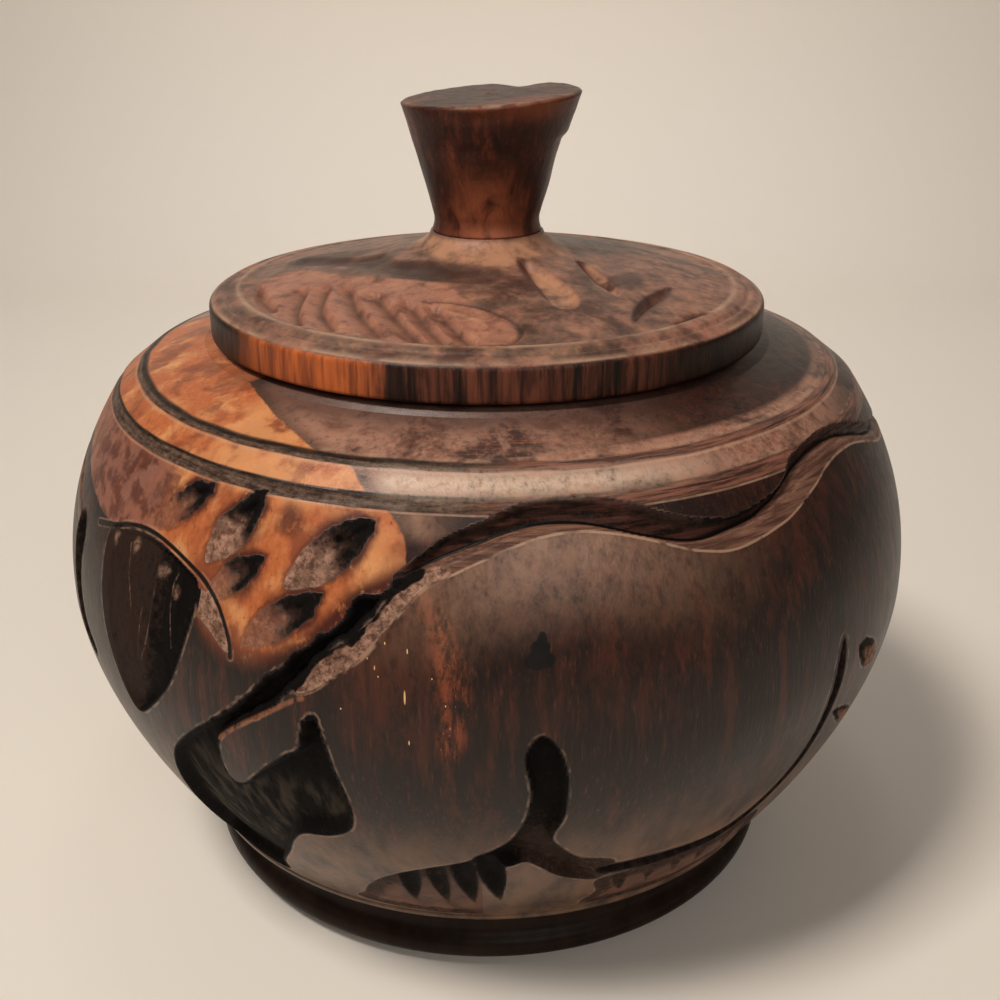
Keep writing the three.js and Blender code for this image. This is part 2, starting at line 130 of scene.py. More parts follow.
LONGEST_ROUND_SHARE = 0.45
BAKE_MAP_EDGE = 0.004
FIGURE_TURNS = (0, 180)
FAR = -20.0
GRAIN_DEPTH = 0.3 * MM
MATTE_SHARE = 0.5
EDGE_REACH = 3
MASKS = ("char_and_shade", "torn", "pale", "rust", "painted_sheen", "knot", "red", "burn", "haze", "deep", "lumps", "glow",
         "mauve", "rough_ring", "spots", "flare")
EDGES = ("ridge_low", "ridge_deep", "ridge_top", "arc", "lip", "shelf", "scratch")


# Numbers

def smooth(value, low, high):
    """0 below low, 1 above high and an even curve between them."""
    share = np.clip((value - low) / (high - low), 0, 1)
    return share * share * (3 - 2 * share)


def near(value, centre, width):
    """1 at the centre, and down to nothing about two widths away."""
    return np.exp(-((value - centre) / width) ** 2)


def hashed(cell, seed):
    """A number from 0 to 1 for each whole-number cell."""
    x, y, z = (cell[..., k] for k in range(3))
    word = (x * 374761393 + y * 668265263 + z * 1440662683 + seed * 974634777) & 0xFFFFFFFF
    word = ((word ^ (word >> 13)) * 1274126177) & 0xFFFFFFFF
    return (word ^ (word >> 16)) / 0xFFFFFFFF


def noise(points, size, seed):
    """Smooth noise from -1 to 1 with bumps about size mm across."""
    place = points / np.array(size, float)
    cell = np.floor(place).astype(np.int64)
    share = smooth(place - cell, 0, 1)
    total = 0
    for corner in np.ndindex(2, 2, 2):
        weight = 1
        for k, side in enumerate(corner):
            weight = weight * (share[..., k] if side else 1 - share[..., k])
        total = total + weight * hashed(cell + corner, seed)
    return 2 * total - 1


def rough(points, size, seed):
    """Three sizes of noise, each half of the one before."""
    size = np.array(size, float)
    return sum(noise(points, size * share, seed + k) * share for k, share in enumerate((1, 0.5, 0.25))) / 1.75


# Curves in the plane

def curve(points, closed=True, steps=4):
    """A Catmull-Rom curve through the points."""
    points = np.array(points, float)
    line = np.vstack([points[-1:], points, points[:2]] if closed else [points[:1], points, points[-1:]])
    before, start, end, beyond = (line[k:len(line) - 3 + k, None] for k in range(4))
    share = (np.arange(steps) / steps)[None, :, None]
    leave, arrive = (end - before) / 2, (beyond - start) / 2
    made = (start * (2 * share ** 3 - 3 * share ** 2 + 1) + leave * (share ** 3 - 2 * share ** 2 + share)
            + end * (3 * share ** 2 - 2 * share ** 3) + arrive * (share ** 3 - share ** 2))
    made = made.reshape(-1, points.shape[1])
    return made if closed else np.vstack([made, points[-1:]])


def side_of_line(x, y, line):
    """Distance in mm from each point to an open line, positive on its right."""
    nearest = np.full(x.shape, np.inf)
    side = np.ones(x.shape)
    for (ax, ay), (bx, by) in zip(line[:-1], line[1:]):
        dx, dy = bx - ax, by - ay
        share = np.clip(((x - ax) * dx + (y - ay) * dy) / (dx * dx + dy * dy), 0, 1)
        square = (x - ax - share * dx) ** 2 + (y - ay - share * dy) ** 2
        closer = square < nearest
        nearest = np.where(closer, square, nearest)
        side = np.where(closer, np.where((x - ax) * dy > (y - ay) * dx, 1, -1), side)
    return side * np.sqrt(nearest)


def line_distance(x, y, line):
    return np.abs(side_of_line(x, y, line))


def signed_distance(x, y, outline):
    """Distance in mm from each point to a closed outline, positive inside it."""
    loop = np.vstack([outline, outline[:1]])
    inside = np.zeros(x.shape, bool)
    for (ax, ay), (bx, by) in zip(loop[:-1], loop[1:]):
        if ay != by:
            inside ^= ((ay > y) != (by > y)) & (x < ax + (y - ay) * (bx - ax) / (by - ay))
    return np.where(inside, 1, -1) * line_distance(x, y, loop)


def gouge_place(x, y, ends, width, widest):
    """How far along a leaf-shaped mark each point is, and how far inside its edge in mm."""
    start, along = ends[0], ends[1] - ends[0]
    length = math.hypot(*along)
    share = ((x - start[0]) * along[0] + (y - start[1]) * along[1]) / length ** 2
    across = ((x - start[0]) * -along[1] + (y - start[1]) * along[0]) / length
    swell = np.clip(share, 0, 1) ** (math.log(0.5) / math.log(widest))
    half = width / 2 * np.sin(np.pi * swell) ** 0.7
    beyond = np.maximum(np.abs(share - 0.5) - 0.5, 0) * length
    return share, half - np.abs(across) - beyond


# Turned profiles

def rounded(points, radius, steps=4):
    """The same open line with each inner corner rounded over the radius."""
    points = [np.array(point, float) for point in points]
    made = [points[0]]
    for before, corner, after in zip(points[:-2], points[1:-1], points[2:]):
        legs = [side - corner for side in (before, after)]
        start, end = (
            corner + leg * min(radius / np.linalg.norm(leg), LONGEST_ROUND_SHARE) for leg in legs)
        for t in np.arange(steps + 1) / steps:
            made.append((1 - t) ** 2 * start + 2 * t * (1 - t) * corner + t * t * end)
    return np.array(made + [points[-1]])


def spaced(points, spacing):
    """The same open line, cut so that no step is longer than the spacing."""
    points = np.array(points, float)
    made = [points[:1]]
    for start, end in zip(points[:-1], points[1:]):
        steps = max(1, math.ceil(np.linalg.norm(end - start) / spacing))
        made.append(start + (end - start) * (np.arange(1, steps + 1) / steps)[:, None])
    return np.vstack(made)


def evenly(points, spacing):
    """The same open line in equal steps of about the spacing."""
    points = np.array(points, float)
    run = run_along(points)
    at = np.linspace(0, run[-1], max(2, round(run[-1] / spacing) + 1))
    return np.stack([np.interp(at, run, points[:, k]) for k in range(2)], 1)


def run_along(points):
    return np.append(0, np.cumsum(np.linalg.norm(np.diff(points, axis=0), axis=1)))


def quarter_round(start, end, steps):
    """Points on a quarter of an ellipse that leaves its start along the radius."""
    turn = np.radians(90) * np.arange(steps) / steps
    return np.stack([
        start[0] + (end[0] - start[0]) * np.sin(turn), end[1] + (start[1] - end[1]) * np.cos(turn)], 1)


def outward(points):
    """Unit normals of a profile that runs out along the base and up the outside."""
    along = np.gradient(points, axis=0)
    normal = np.stack([along[:, 1], -along[:, 0]], 1)
    return normal / np.linalg.norm(normal, axis=1)[:, None]


def ring_points(radius, angles, z):
    """Points at a radius and height, where angle 0 faces -Y and grows towards +X."""
    turn = np.radians(angles)
    return np.stack([radius * np.sin(turn), -radius * np.cos(turn), z + 0 * turn], -1)


def from_front(angles):
    """Angles from -180 to 180, with 0 at the front."""
    return (angles + 180) % 360 - 180


# Meshes

def turned_mesh(name, place, run, angles, masks, matte=None):
    """A closed mesh from rings of points in mm, with its first and last ring closed at the axis.

    Faces whose points are matte take the second material.
    """
    rows, columns = place.shape[:2]
    count = rows * columns
    ends = [[0, 0, place[k, :, 2].mean()] for k in (0, -1)]
    vertices = np.vstack([place.reshape(-1, 3), ends]) * MM
    row, column = (index.ravel() for index in np.indices((rows - 1, columns)))
    here, beside = row * columns + column, row * columns + (column + 1) % columns
    around = np.arange(columns)
    ahead = (around + 1) % columns
    top = count - columns
    faces = [
        np.stack([here, beside, beside + columns, here + columns], 1),
        np.stack([np.full(columns, count), ahead, around], 1),
        np.stack([np.full(columns, count + 1), top + around, top + ahead], 1),
    ]
    mesh = bpy.data.meshes.new(name)
    mesh.from_pydata(vertices.tolist(), [], sum((part.tolist() for part in faces), []))
    mesh.shade_smooth()
    lay_out(mesh, run, angles, row, column)
    for mask, values in masks.items():
        attribute = mesh.attributes.new(mask, "FLOAT", "POINT")
        full = np.append(values, [values[0].mean(), values[-1].mean()])
        attribute.data.foreach_set("value", full.astype(np.float32))
    if matte is not None:
        both = matte[:-1] & matte[1:]
        second = np.append(both & np.roll(both, -1, 1), np.zeros(2 * columns, bool))
        mesh.polygons.foreach_set("material_index", second.astype(np.int32))
    made = bpy.data.objects.new(name, mesh)
    bpy.context.collection.objects.link(made)
    return made


def lay_out(mesh, run, angles, row, column):
    """A bake map with the turn across it and the run along the profile up it."""
    edge = BAKE_MAP_EDGE
    u = edge + (1 - 2 * edge) * (np.append(angles, angles[0] + 360) - angles[0]) / 360
    cap = run[1] - run[0]
    v = edge + (1 - 2 * edge) * (run + cap) / (run[-1] + 2 * cap)
    left, right = u[:-1], u[1:]
    middle = (left + right) / 2
    faces = [
        [(u[column], v[row]), (u[column + 1], v[row]), (u[column + 1], v[row + 1]), (u[column], v[row + 1])],
        [(middle, edge), (right, v[0]), (left, v[0])],
        [(middle, 1 - edge), (left, v[-1]), (right, v[-1])],
    ]
    flat = [np.stack([np.stack(np.broadcast_arrays(*corner), 1) for corner in face], 1) for face in faces]
    layer = mesh.uv_layers.new(name="OFBake")
    layer.data.foreach_set("uv", np.concatenate([part.ravel() for part in flat]).astype(np.float32))


# The carving, as [angle, height] points on the outside of the jar

# Field in front of the figure: the slanting cut, and the hollow below it round an island
FRONT_FIELD = [
    [-7, 70.8], [-11, 68.6], [-14, 67], [-18, 62.2], [-24, 56.3], [-30, 49.6], [-36, 44], [-41, 38.5],
    [-44.5, 32], [-47, 25], [-49, 18], [-50, 12.5], [-36, 12.5], [-32, 18], [-28, 23.3], [-25.5, 27.5],
    [-23, 30.4], [-19, 31.6], [-16, 33.8], [-15, 37], [-15.2, 41], [-16.3, 46], [-17, 50.5], [-18, 52.8],
    [-19.6, 51.6], [-20.2, 47.6], [-22, 46], [-25, 43], [-29, 38.4], [-31, 38.2], [-31.5, 41.4],
    [-30.7, 45.3], [-27, 49], [-23, 52], [-21, 54.6], [-19.6, 57], [-17.5, 60.1], [-15.5, 61.7],
    [-13.2, 63.6], [-11.4, 65.8], [-10, 67.8], [-8, 69.6],
]
# Torn, sloping lip on the figure's side of the slanting cut
TORN_LIP = [
    [-4.6, 71], [-8, 69.6], [-10.2, 67.7], [-11.6, 65.8], [-13.4, 63.6], [-15.7, 61.7], [-17.7, 60.1],
    [-19.4, 57.6], [-20.6, 55.4], [-19, 55.4], [-15.8, 57.9], [-13, 60.5], [-10.8, 63.5], [-8.8, 66.2],
    [-6.4, 68.9], [-4, 70.2],
]
# Worn edge between that lip and the figure
SHELF_EDGE = [[-5, 70.1], [-6.8, 68.6], [-8.8, 66.2], [-10.8, 63.5], [-13, 60.5], [-15.8, 57.9], [-18.6, 56]]
LEG_GAP = [
    [6.3, 51.8], [5, 50.8], [4.2, 48.5], [4.8, 45], [5, 42], [4.4, 38], [3, 34.5], [1, 32.3], [-1.5, 30.2],
    [0.5, 28.6], [3, 28], [5, 29], [7, 27.3], [9, 25], [12, 23], [16, 21.8], [17, 26.6], [12, 29],
    [9.3, 32], [8, 34.4], [9, 38], [9.2, 42], [9, 46], [8, 49.8],
]
TAIL_LINE = [
    [15, 25.6], [22, 25.8], [30, 25.4], [35, 26], [39, 29], [42, 33.5], [43.5, 38], [44.4, 44], [45, 50],
    [46, 54], [47.4, 53], [47.6, 47], [46.6, 40], [45, 33], [41, 26.5], [36, 22.5], [30, 21.8], [22, 22],
    [15, 22.9],
]
EAR = [
    [-53, 66.2], [-48, 67.8], [-44, 68.3], [-40, 67.7], [-36.5, 66.6], [-34, 65.2], [-34, 62], [-35, 58],
    [-36.5, 53.5], [-38.5, 49.6], [-42, 45.4], [-46, 42], [-48.2, 42.4], [-50, 47.6], [-52, 53], [-53.2, 59],
]
# The ear's left and right edges at some heights, for the slope of its floor
EAR_HEIGHTS = [42, 46, 50, 54, 58, 62, 66]
EAR_LEFT = [-48.2, -49.6, -51, -52.2, -53.2, -53.4, -53]
EAR_RIGHT = [-46, -41.5, -38.3, -36.4, -35, -34, -35]
BACK_LINE = [
    [-62.5, 65], [-60.8, 62], [-61.4, 56], [-60, 50.5], [-57, 46.5], [-59, 44], [-63, 46.5], [-66, 53],
    [-66.8, 60], [-65.4, 64],
]
# Thin line over the ear that runs on down behind it
EAR_ARC = [
    [-57, 65.5], [-53, 66.6], [-48, 68.2], [-44, 68.7], [-40, 68.2], [-36, 67], [-33, 65.6], [-30.5, 63.2],
    [-28.8, 59.8], [-28.5, 57.6],
]
# Thin pale ridges down the ear, and the torn spots at its top: [angle, height] and size
EAR_SCRATCHES = [
    [[-47.9, 66], [-47.7, 64], [-46.3, 58]], [[-42, 65], [-41.9, 62], [-43, 56], [-44.6, 50.6]],
    [[-44.2, 58.8], [-45, 54], [-45.2, 50.8]], [[-38.8, 65], [-39.4, 62], [-39.2, 54.6]],
]
EAR_SPOTS = [[-41, 64.6, 1.0], [-38.6, 62.4, 0.8], [-46.8, 66, 0.9], [-51, 65.6, 0.9]]
# Torn crescent between the ear and that line
CRESCENT = [
    [-34, 64.6], [-31.4, 63.8], [-29.4, 60.8], [-28.8, 57.8], [-31, 59.6], [-33.6, 61.8],
]
# Leaf-shaped gouge marks: low end, high end, width, depth, how torn their floor is
LEAF_GOUGES = [
    [[-43.4, 69.6], [-35.3, 76.3], 4.2, 1.5, 0.25],
    [[-33.6, 67.6], [-27.4, 76.6], 4.8, 1.4, 0.9],
    [[-22.4, 67.2], [-12.6, 75.4], 5.4, 1.5, 1],
    [[-32.8, 63.8], [-25.6, 70], 3.8, 1.2, 0.35],
    [[-27, 59.8], [-17.6, 67.4], 4.4, 1.4, 0.45],
    [[-59, 71], [-52, 76], 4, 0.7, 0.1],
    [[-53.6, 69.6], [-46.6, 75.4], 4, 0.7, 0.1],
    [[-47.4, 70.4], [-42, 75.4], 3, 0.5, 0.1],
    [[58, 44.4], [50.4, 50.6], 4.2, 1.4, 0.8],
    [[59, 33.4], [47.4, 41.4], 3, 1.3, 0.8],
]
# Grass at the figure's feet: the two carved patches, then the cuts in them and how dark each is
GRASS = [
    [[-19.5, 12.4], [-18.8, 16], [-17.6, 18.4], [-15.4, 21.4], [-12.6, 24], [-9.6, 26], [-6, 27.8],
     [-2.4, 29.4], [1.2, 31.6], [3.4, 28.4], [5.4, 24], [6.6, 18], [7, 12.4]],
    [[17, 12.4], [16.6, 17], [15.6, 21.4], [22, 22], [30, 21.8], [36, 22.4], [41, 25.4], [44, 21],
     [46, 12.4]],
]
GRASS_CUTS = [
    [[-15.6, 14], [-14.6, 26], 2.6, 0.9, 0.4],
    [[-10.8, 12], [-9.8, 32], 4.4, 1.5, 0.95],
    [[-5, 10], [-6.8, 35], 4, 1.5, 0.85],
    [[-0.8, 10], [-3.6, 37], 4.6, 1.6, 0.95],
    [[3.4, 10], [-0.6, 40], 5.4, 2, 1],
    [[22.4, 12], [18, 25], 3, 1.4, 0.6],
    [[27.4, 12], [22.4, 26], 2.6, 1.2, 0.5],
    [[32.4, 12], [27, 26], 2.8, 1.2, 0.5],
    [[37.4, 12], [31.6, 26], 2.8, 1.2, 0.5],
    [[42.4, 13], [36, 27], 2.8, 1.2, 0.5],
]
# The ridge groove: angle, height of its upper edge, of its deepest line and of its lower edge
RIDGE_GROOVE = [
    [-10, 70, 69.3, 68], [-7, 72.6, 71.2, 69.2], [-4, 74.6, 72.6, 70.2], [0, 76, 74, 71.9],
    [4, 77.5, 75.2, 73.4], [9, 78.2, 75.6, 74.4], [14, 77.8, 74.9, 74.1], [19, 76.4, 73.4, 72.9],
    [25, 74.6, 72, 70.8], [30, 73.7, 72.3, 70], [35, 74.2, 73, 70.5], [40, 75.3, 74.6, 71.5],
    [45, 77.8, 76.4, 73.1], [51, 78.5, 77.3, 74.9], [57, 78.3, 76.9, 75.2], [63, 77, 75.5, 74.2],
    [70, 75, 73.5, 72], [78, 73.4, 72, 70.4], [88, 72, 70.6, 69], [98, 70.4, 69, 67.4],
    [108, 67.6, 66.2, 64.6], [116, 64, 62.6, 61],
]
# The two turned ring channels of the shoulder: lower edge, upper edge, depth
RING_CHANNELS = [[76.5, 78.25, 0.9], [80.25, 81.05, 0.7]]

# Colour zones, on the front only, because the pale sapwood is on one side of the log
SAPWOOD = [
    [-100, 92], [-76, 88.4], [-62, 85.4], [-52, 84.1], [-40, 83], [-30, 81.9], [-22.5, 80.9], [-17.4, 80.1],
    [-15, 78.6], [-11.6, 76.6], [-9.2, 74.4], [-8.6, 72], [-9.2, 69.4], [-14, 65], [-19, 60], [-25, 57.4],
    [-31, 58], [-34, 62], [-37, 66], [-44, 68.6], [-53, 66.8], [-62, 68], [-80, 72], [-100, 74],
]
RUST = [
    [-7.6, 68.4], [-5.2, 68.6], [-3.6, 66], [-2.2, 62], [-1.5, 57], [-1.8, 51.6], [-3, 47.6], [-4.6, 49.6],
    [-4.6, 55], [-5, 60.4], [-6.2, 65],
]
# Thin orange lip along the top of the island in front of the figure
ISLAND_LIP = [[-31, 45.2], [-28, 48.2], [-24, 51.4], [-20.6, 54], [-19.4, 54.6]]
KNOT = [[4.4, 60.6], [4.8, 62], [5.6, 63.4], [6.2, 64.4], [6.9, 62.8], [7.4, 61], [6.4, 60.1]]
# Bright nicks in the belly: [angle, height] and half its width, depth and height
NICKS = [
    [[-8, 56.4], 0.13, 1.0], [[-7.6, 50.6], 0.1, 0.35], [[-10.2, 62.5], 0.09, 0.2],
    [[-7.8, 61.8], 0.09, 0.35], [[-11.2, 59.6], 0.08, 0.3], [[-10.8, 58.6], 0.08, 0.15],
    [[-14.8, 54.1], 0.1, 0.15], [[-12, 60.6], 0.07, 0.15], [[-5.2, 58.8], 0.08, 0.15],
    [[-3.8, 55.6], 0.08, 0.15],
]
NICK_HALF_DEPTH = 2.0
# Thin turned lines of the shoulder, as height and width
RING_LINES = [[76.25, 0.2], [78.9, 0.12], [79.6, 0.12], [81.5, 0.12]]
# The rust zone's crisp right edge, as heights and angles
FLARE_EDGE = [[50, 57, 62, 68], [-3.2, -3.4, -4.4, -5.6]]

FIELD_DEPTH = 2.6
LEG_GAP_DEPTH = 2.4
TAIL_DEPTH = 1.7
BACK_DEPTH = 2.0
TORN_DEPTH = 1.1
RIDGE_DEPTH = 2.0
GRASS_DEPTH = 0.8


class Skin:
    """The outside of the belly and shoulder as a grid of angles and heights, and what is carved into it.

    It holds the carved depth in mm, the masks that the wood's colours follow and distances to drawn edges.
    """

    def __init__(self):
        heights = np.linspace(FOOT_HEIGHT, BELLY_TOP_Z, 400)
        belly = evenly(np.stack([belly_radius(heights), heights], 1), BELLY_SPACING)
        shoulder = evenly([belly[-1], [RING_RADIUS, RING_Z], [SEAT_RADIUS, SEAT_Z]], SHOULDER_SPACING)
        self.profile = np.vstack([belly, shoulder[1:]])
        self.radius, self.z = self.profile[:, :1], self.profile[:, 1:]
        self.run = run_along(self.profile)
        self.angles = column_angles()
        self.place = ring_points(self.radius, self.angles, self.z)
        self.shape = self.place.shape[:2]
        self.depth = np.zeros(self.shape)
        self.inside = np.full(self.shape, FAR)
        self.masks = {name: np.zeros(self.shape) for name in MASKS}
        self.edges = {name: np.full(self.shape, -EDGE_REACH) for name in EDGES}

    def measured(self, points, turn, measure, *details, margin=3):
        """A measure of each grid point near a turned figure's points, and FAR away from it."""
        points = np.array(points, float)
        low, high = points.min(0), points.max(0)
        centre = (low[0] + high[0]) / 2
        side = math.degrees(margin / BELLY_FOOT_RADIUS)
        angles = from_front(self.angles - turn)
        columns = np.where((angles > low[0] - side) & (angles < high[0] + side))[0]
        rows = np.where((self.z > low[1] - margin) & (self.z < high[1] + margin))[0]
        x = np.radians(angles[columns] - centre) * self.radius[rows]
        y = self.run[rows, None] + 0 * x
        radius, run = (np.interp(points[:, 1], self.z[:, 0], line) for line in (self.radius[:, 0], self.run))
        run = run + np.clip(points[:, 1] - SEAT_Z, 0, None)
        flat = np.stack([np.radians(points[:, 0] - centre) * radius, run], 1)
        found = np.array(measure(x, y, flat, *details))
        full = np.full(found.shape[:-2] + self.shape, FAR)
        full[..., rows[:, None], columns] = found
        return full

    def within(self, outline, turn):
        """How far inside a closed outline each point is, in mm."""
        return self.measured(curve(outline), turn, signed_distance)

    def off_line(self, line, turn):
        """How far from an open line each point is, in mm."""
        off = self.measured(curve(line, closed=False), turn, line_distance)
        return np.where(off == FAR, -FAR, off)

    def along_gouge(self, start, end, width, turn, widest):
        return self.measured([start, end], turn, gouge_place, width, widest, margin=width)

    def noise(self, size, seed):
        return noise(self.place, size, seed)

    def rough(self, size, seed):
        return rough(self.place, size, seed)

    def cut(self, depth, inside=FAR):
        self.depth = np.maximum(self.depth, depth)
        self.inside = np.maximum(self.inside, inside)

    def mark(self, name, amount):
        self.masks[name] = np.maximum(self.masks[name], amount)

    def edge(self, name, distance):
        """Distance in mm inside an edge, which the shader turns into a crisp line or border."""
        self.edges[name] = np.maximum(self.edges[name], np.clip(distance, -EDGE_REACH, EDGE_REACH))


def belly_radius(z):
    up = np.clip((z - BELLY_Z) / (BELLY_TOP_Z - BELLY_Z), 0, None)
    down = np.clip((BELLY_Z - z) / (BELLY_Z - FOOT_HEIGHT), 0, None)
    return (BELLY_RADIUS - (BELLY_RADIUS - BELLY_TOP_RADIUS) * up ** BELLY_UPPER_POWER
            - (BELLY_RADIUS - BELLY_FOOT_RADIUS) * down ** BELLY_LOWER_POWER)


def column_angles():
    start, end = CARVED_ANGLES
    sides = []
    for turn, step in zip(FIGURE_TURNS, (FRONT_ANGLE, BACK_ANGLE)):
        sides.append(turn + np.arange(start, end, step))
        sides.append(turn + np.arange(end, start + 180, COARSE_ANGLE))
    return np.concatenate(sides)


def shown(inside):
    """1 where a cut's colour shows, from a little outside its edge."""
    return smooth(inside, -0.6, -0.2)


def cut_field(skin, turn):
    z = skin.z
    upper = smooth(z, 44, 52)
    plain = skin.within(FRONT_FIELD, turn)
    inside = plain + (skin.rough(2.4, 11) * 0.75 + skin.rough(0.9, 14) * 0.3) * upper
    floor = 1 + 0.08 * skin.rough((1.6, 1.6, 9), 12) * (1 - upper) + 0.25 * skin.rough(1.5, 13) * upper
    skin.cut(FIELD_DEPTH * smooth(inside, 0, 1.3) * floor, inside)
    skin.mark("char_and_shade", shown(inside))
    skin.mark("burn", smooth(plain, -2.4, -0.3) * upper)
    skin.mark("haze", smooth(inside, 0.8, 2.2) * smooth(z, 43, 36) * smooth(z, 15, 22))


def cut_torn_lip(skin, turn):
    inside = skin.within(TORN_LIP, turn) + skin.rough(1.4, 21) * 0.3
    skin.cut(TORN_DEPTH * smooth(inside, 0, 1.7) * (1 + 0.35 * skin.rough(1.0, 22)), inside)
    skin.mark("torn", shown(inside))
    skin.edge("shelf", EDGE_REACH - skin.off_line(SHELF_EDGE, turn))
    skin.edge("lip", EDGE_REACH - skin.off_line(ISLAND_LIP, turn))


def cut_leg_gap(skin, turn):
    angle = from_front(skin.angles - turn)
    inside = skin.within(LEG_GAP, turn)
    toe = 1 - 0.75 * smooth(angle, 10, 17)
    skin.cut(LEG_GAP_DEPTH * toe * smooth(inside, 0, 0.9), inside)
    brown = 0.4 * smooth(angle, 2.4, 6) * smooth(skin.z, 40, 31)
    skin.mark("char_and_shade", shown(inside) * (1 - brown))


def cut_soft_line(skin, outline, turn, depth):
    """A rounded groove without a hard edge."""
    inside = skin.within(outline, turn)
    skin.cut(depth * smooth(inside, 0, 1.5), inside)
    skin.mark("char_and_shade", 0.85 * smooth(inside, -0.1, 0.8))


def cut_ear(skin, turn):
    angle, z = from_front(skin.angles - turn), skin.z
    inside = skin.within(EAR, turn)
    left, right = (np.interp(z, EAR_HEIGHTS, side) for side in (EAR_LEFT, EAR_RIGHT))
    across = np.clip((angle - left) / (right - left), 0, 1)
    ridges = 0.4 * near(angle, -42 + (z - 60) * 0.08, 0.45) * smooth(z, 51.5, 55) * smooth(z, 68.5, 66)
    ridges = ridges + 0.3 * near(angle, -38.4 + (z - 60) * 0.1, 0.4) * smooth(z, 57, 61)
    depth = FIELD_DEPTH * (0.18 + 0.82 * across ** 0.8) + 0.16 * skin.rough((1.2, 1.2, 5), 31)
    skin.cut(smooth(inside, 0, 0.8) * (depth - ridges), inside)
    skin.mark("char_and_shade", shown(inside) * (0.62 + 0.38 * smooth(across, 0.45, 0.8)))
    for spot_angle, height, size in EAR_SPOTS:
        gap = np.hypot(np.radians(angle - spot_angle) * BELLY_RADIUS, (z - height) / 1.3) / size
        spot = smooth(gap + 0.6 * skin.rough(0.9, 32), 1.1, 0.3)
        skin.mark("spots", 0.5 * spot * smooth(inside, 0.1, 0.5))
    scratches = np.minimum.reduce([skin.off_line(line, turn) for line in EAR_SCRATCHES])
    skin.edge("scratch", EDGE_REACH - scratches)
    arc = skin.off_line(EAR_ARC, turn)
    skin.cut(0.4 * smooth(arc, 0.6, 0.1))
    skin.edge("arc", EDGE_REACH - arc)


def cut_crescent(skin, turn):
    inside = skin.within(CRESCENT, turn) + skin.rough(1.2, 41) * 0.2
    skin.cut(0.8 * smooth(inside, 0, 1.2) * (1 + 0.3 * skin.rough(1, 42)), inside)
    skin.mark("torn", shown(inside))


def cut_gouges(skin, marks, turn):
    """Torn scoops in the sapwood, shallow at their low end and steep at their high end, where the wall is
    painted black as shade.
    """
    grain, fine = skin.rough(1.3, 51), skin.rough(0.75, 54)
    edge = skin.rough(2.2, 52) * 0.5 + skin.rough(0.8, 53) * 0.3
    for start, end, width, depth, torn in marks:
        share, inside = skin.along_gouge(start, end, width, turn, widest=0.5)
        inside = inside + edge
        bowl = smooth(inside, 0, 0.36 * width) * (0.35 + 0.65 * smooth(share, 0.05, 0.75))
        skin.cut(depth * bowl * (1 + torn * (0.25 * grain + 0.2 * fine)), inside)
        # Painted shade: each gouge's steep high wall is blackened, darkest towards its high end
        high = smooth(share + 0.14 * grain + 0.12 * fine - 0.35 * inside / width, 0.1, 0.8)
        deep = smooth(depth, 0.8, 1.2)
        skin.mark("torn", torn * shown(inside))
        skin.mark("deep", 0.8 * shown(inside))
        skin.mark("char_and_shade", shown(inside) * high * deep)
        skin.mark("burn", 0.9 * smooth(inside, -1.5, -0.1) * smooth(share, 0.2, 0.7) * deep)


def cut_grass(skin, turn):
    """Petals between flame-shaped cuts that are widest at the patch's upper edge."""
    angle = from_front(skin.angles - turn)
    patch = np.maximum.reduce([skin.within(outline, turn) for outline in GRASS])
    fade = 1 - near(angle, 5, 4.5) * (angle < 12)
    streaks = 1 + 0.3 * skin.rough((1.4, 1.4, 14), 61)
    skin.cut(GRASS_DEPTH * smooth(patch, 0, 0.5) * streaks * fade, np.where(fade > 0.5, patch, FAR))
    mauve = shown(patch) * smooth(fade, 0.5, 0.98)
    skin.mark("mauve", mauve)
    # Painted shade: the sunken patch is darkened near its edges, where it lies below the surrounding surface
    skin.mark("char_and_shade", 0.56 * mauve * smooth(patch, 4.2, 1.4))
    for start, end, width, depth, dark in GRASS_CUTS:
        share, inside = skin.along_gouge(start, end, width, turn, widest=0.6)
        inside = np.minimum(inside - 0.3 * width * (1 - share), patch)
        fall = smooth(inside, 0, 0.3 * width) * smooth(share, 0, 0.5)
        skin.cut(GRASS_DEPTH + (depth - GRASS_DEPTH) * fall, np.where(fall > 0, inside, FAR))
        skin.mark("char_and_shade", dark * smooth(inside, -0.2, 0.3) * smooth(share, 0.02, 0.4))


def cut_ridge_groove(skin, turn):
    """A stepped groove: a steep dark wall down to a crease, then a bevel up to a thin pale edge that is
    partly wear and partly a painted highlight. On two stretches the wall's top is painted black as shade.
    """
    line = curve(RIDGE_GROOVE, closed=False, steps=6)
    angle = from_front(skin.angles - turn)
    z = skin.z + 0.1 * skin.noise(3, 71)
    upper, deepest, lower = (np.interp(angle, line[:, 0], line[:, k]) for k in (1, 2, 3))
    ends = smooth(angle, line[0, 0], line[0, 0] + 3) * smooth(angle, line[-1, 0], line[-1, 0] - 8)
    wall = np.clip((upper - z) / (upper - deepest), 0, 1)
    slope = np.clip((z - lower) / (deepest - lower), 0, 1)
    steep = 0.55 * smooth(wall, 0, 0.45) + 0.45 * wall
    depth = np.where(z > deepest, steep, slope ** 1.3)
    held = (z < upper) & (z > lower) & (ends > 0)
    ribs = 1 + 0.04 * skin.noise((2.5, 2.5, 0.6), 72)
    skin.cut(RIDGE_DEPTH * ends * depth * held * ribs, np.where(held, np.minimum(upper - z, z - lower), FAR))
    for name, distance in (("ridge_low", z - lower), ("ridge_deep", z - deepest), ("ridge_top", upper - z)):
        skin.edge(name, np.where(ends > 0, distance, -EDGE_REACH))
    # Painted shade: black under the groove's upper edge, where its wall faces down
    shaded_top = smooth(wall, 0.7, 0.4) * np.maximum(near(angle, 33, 15), 0.8 * near(angle, -5, 9))
    skin.mark("char_and_shade", 0.95 * ends * shaded_top * smooth(upper - z, -0.5, -0.2) * smooth(z, deepest, deepest + 0.4))


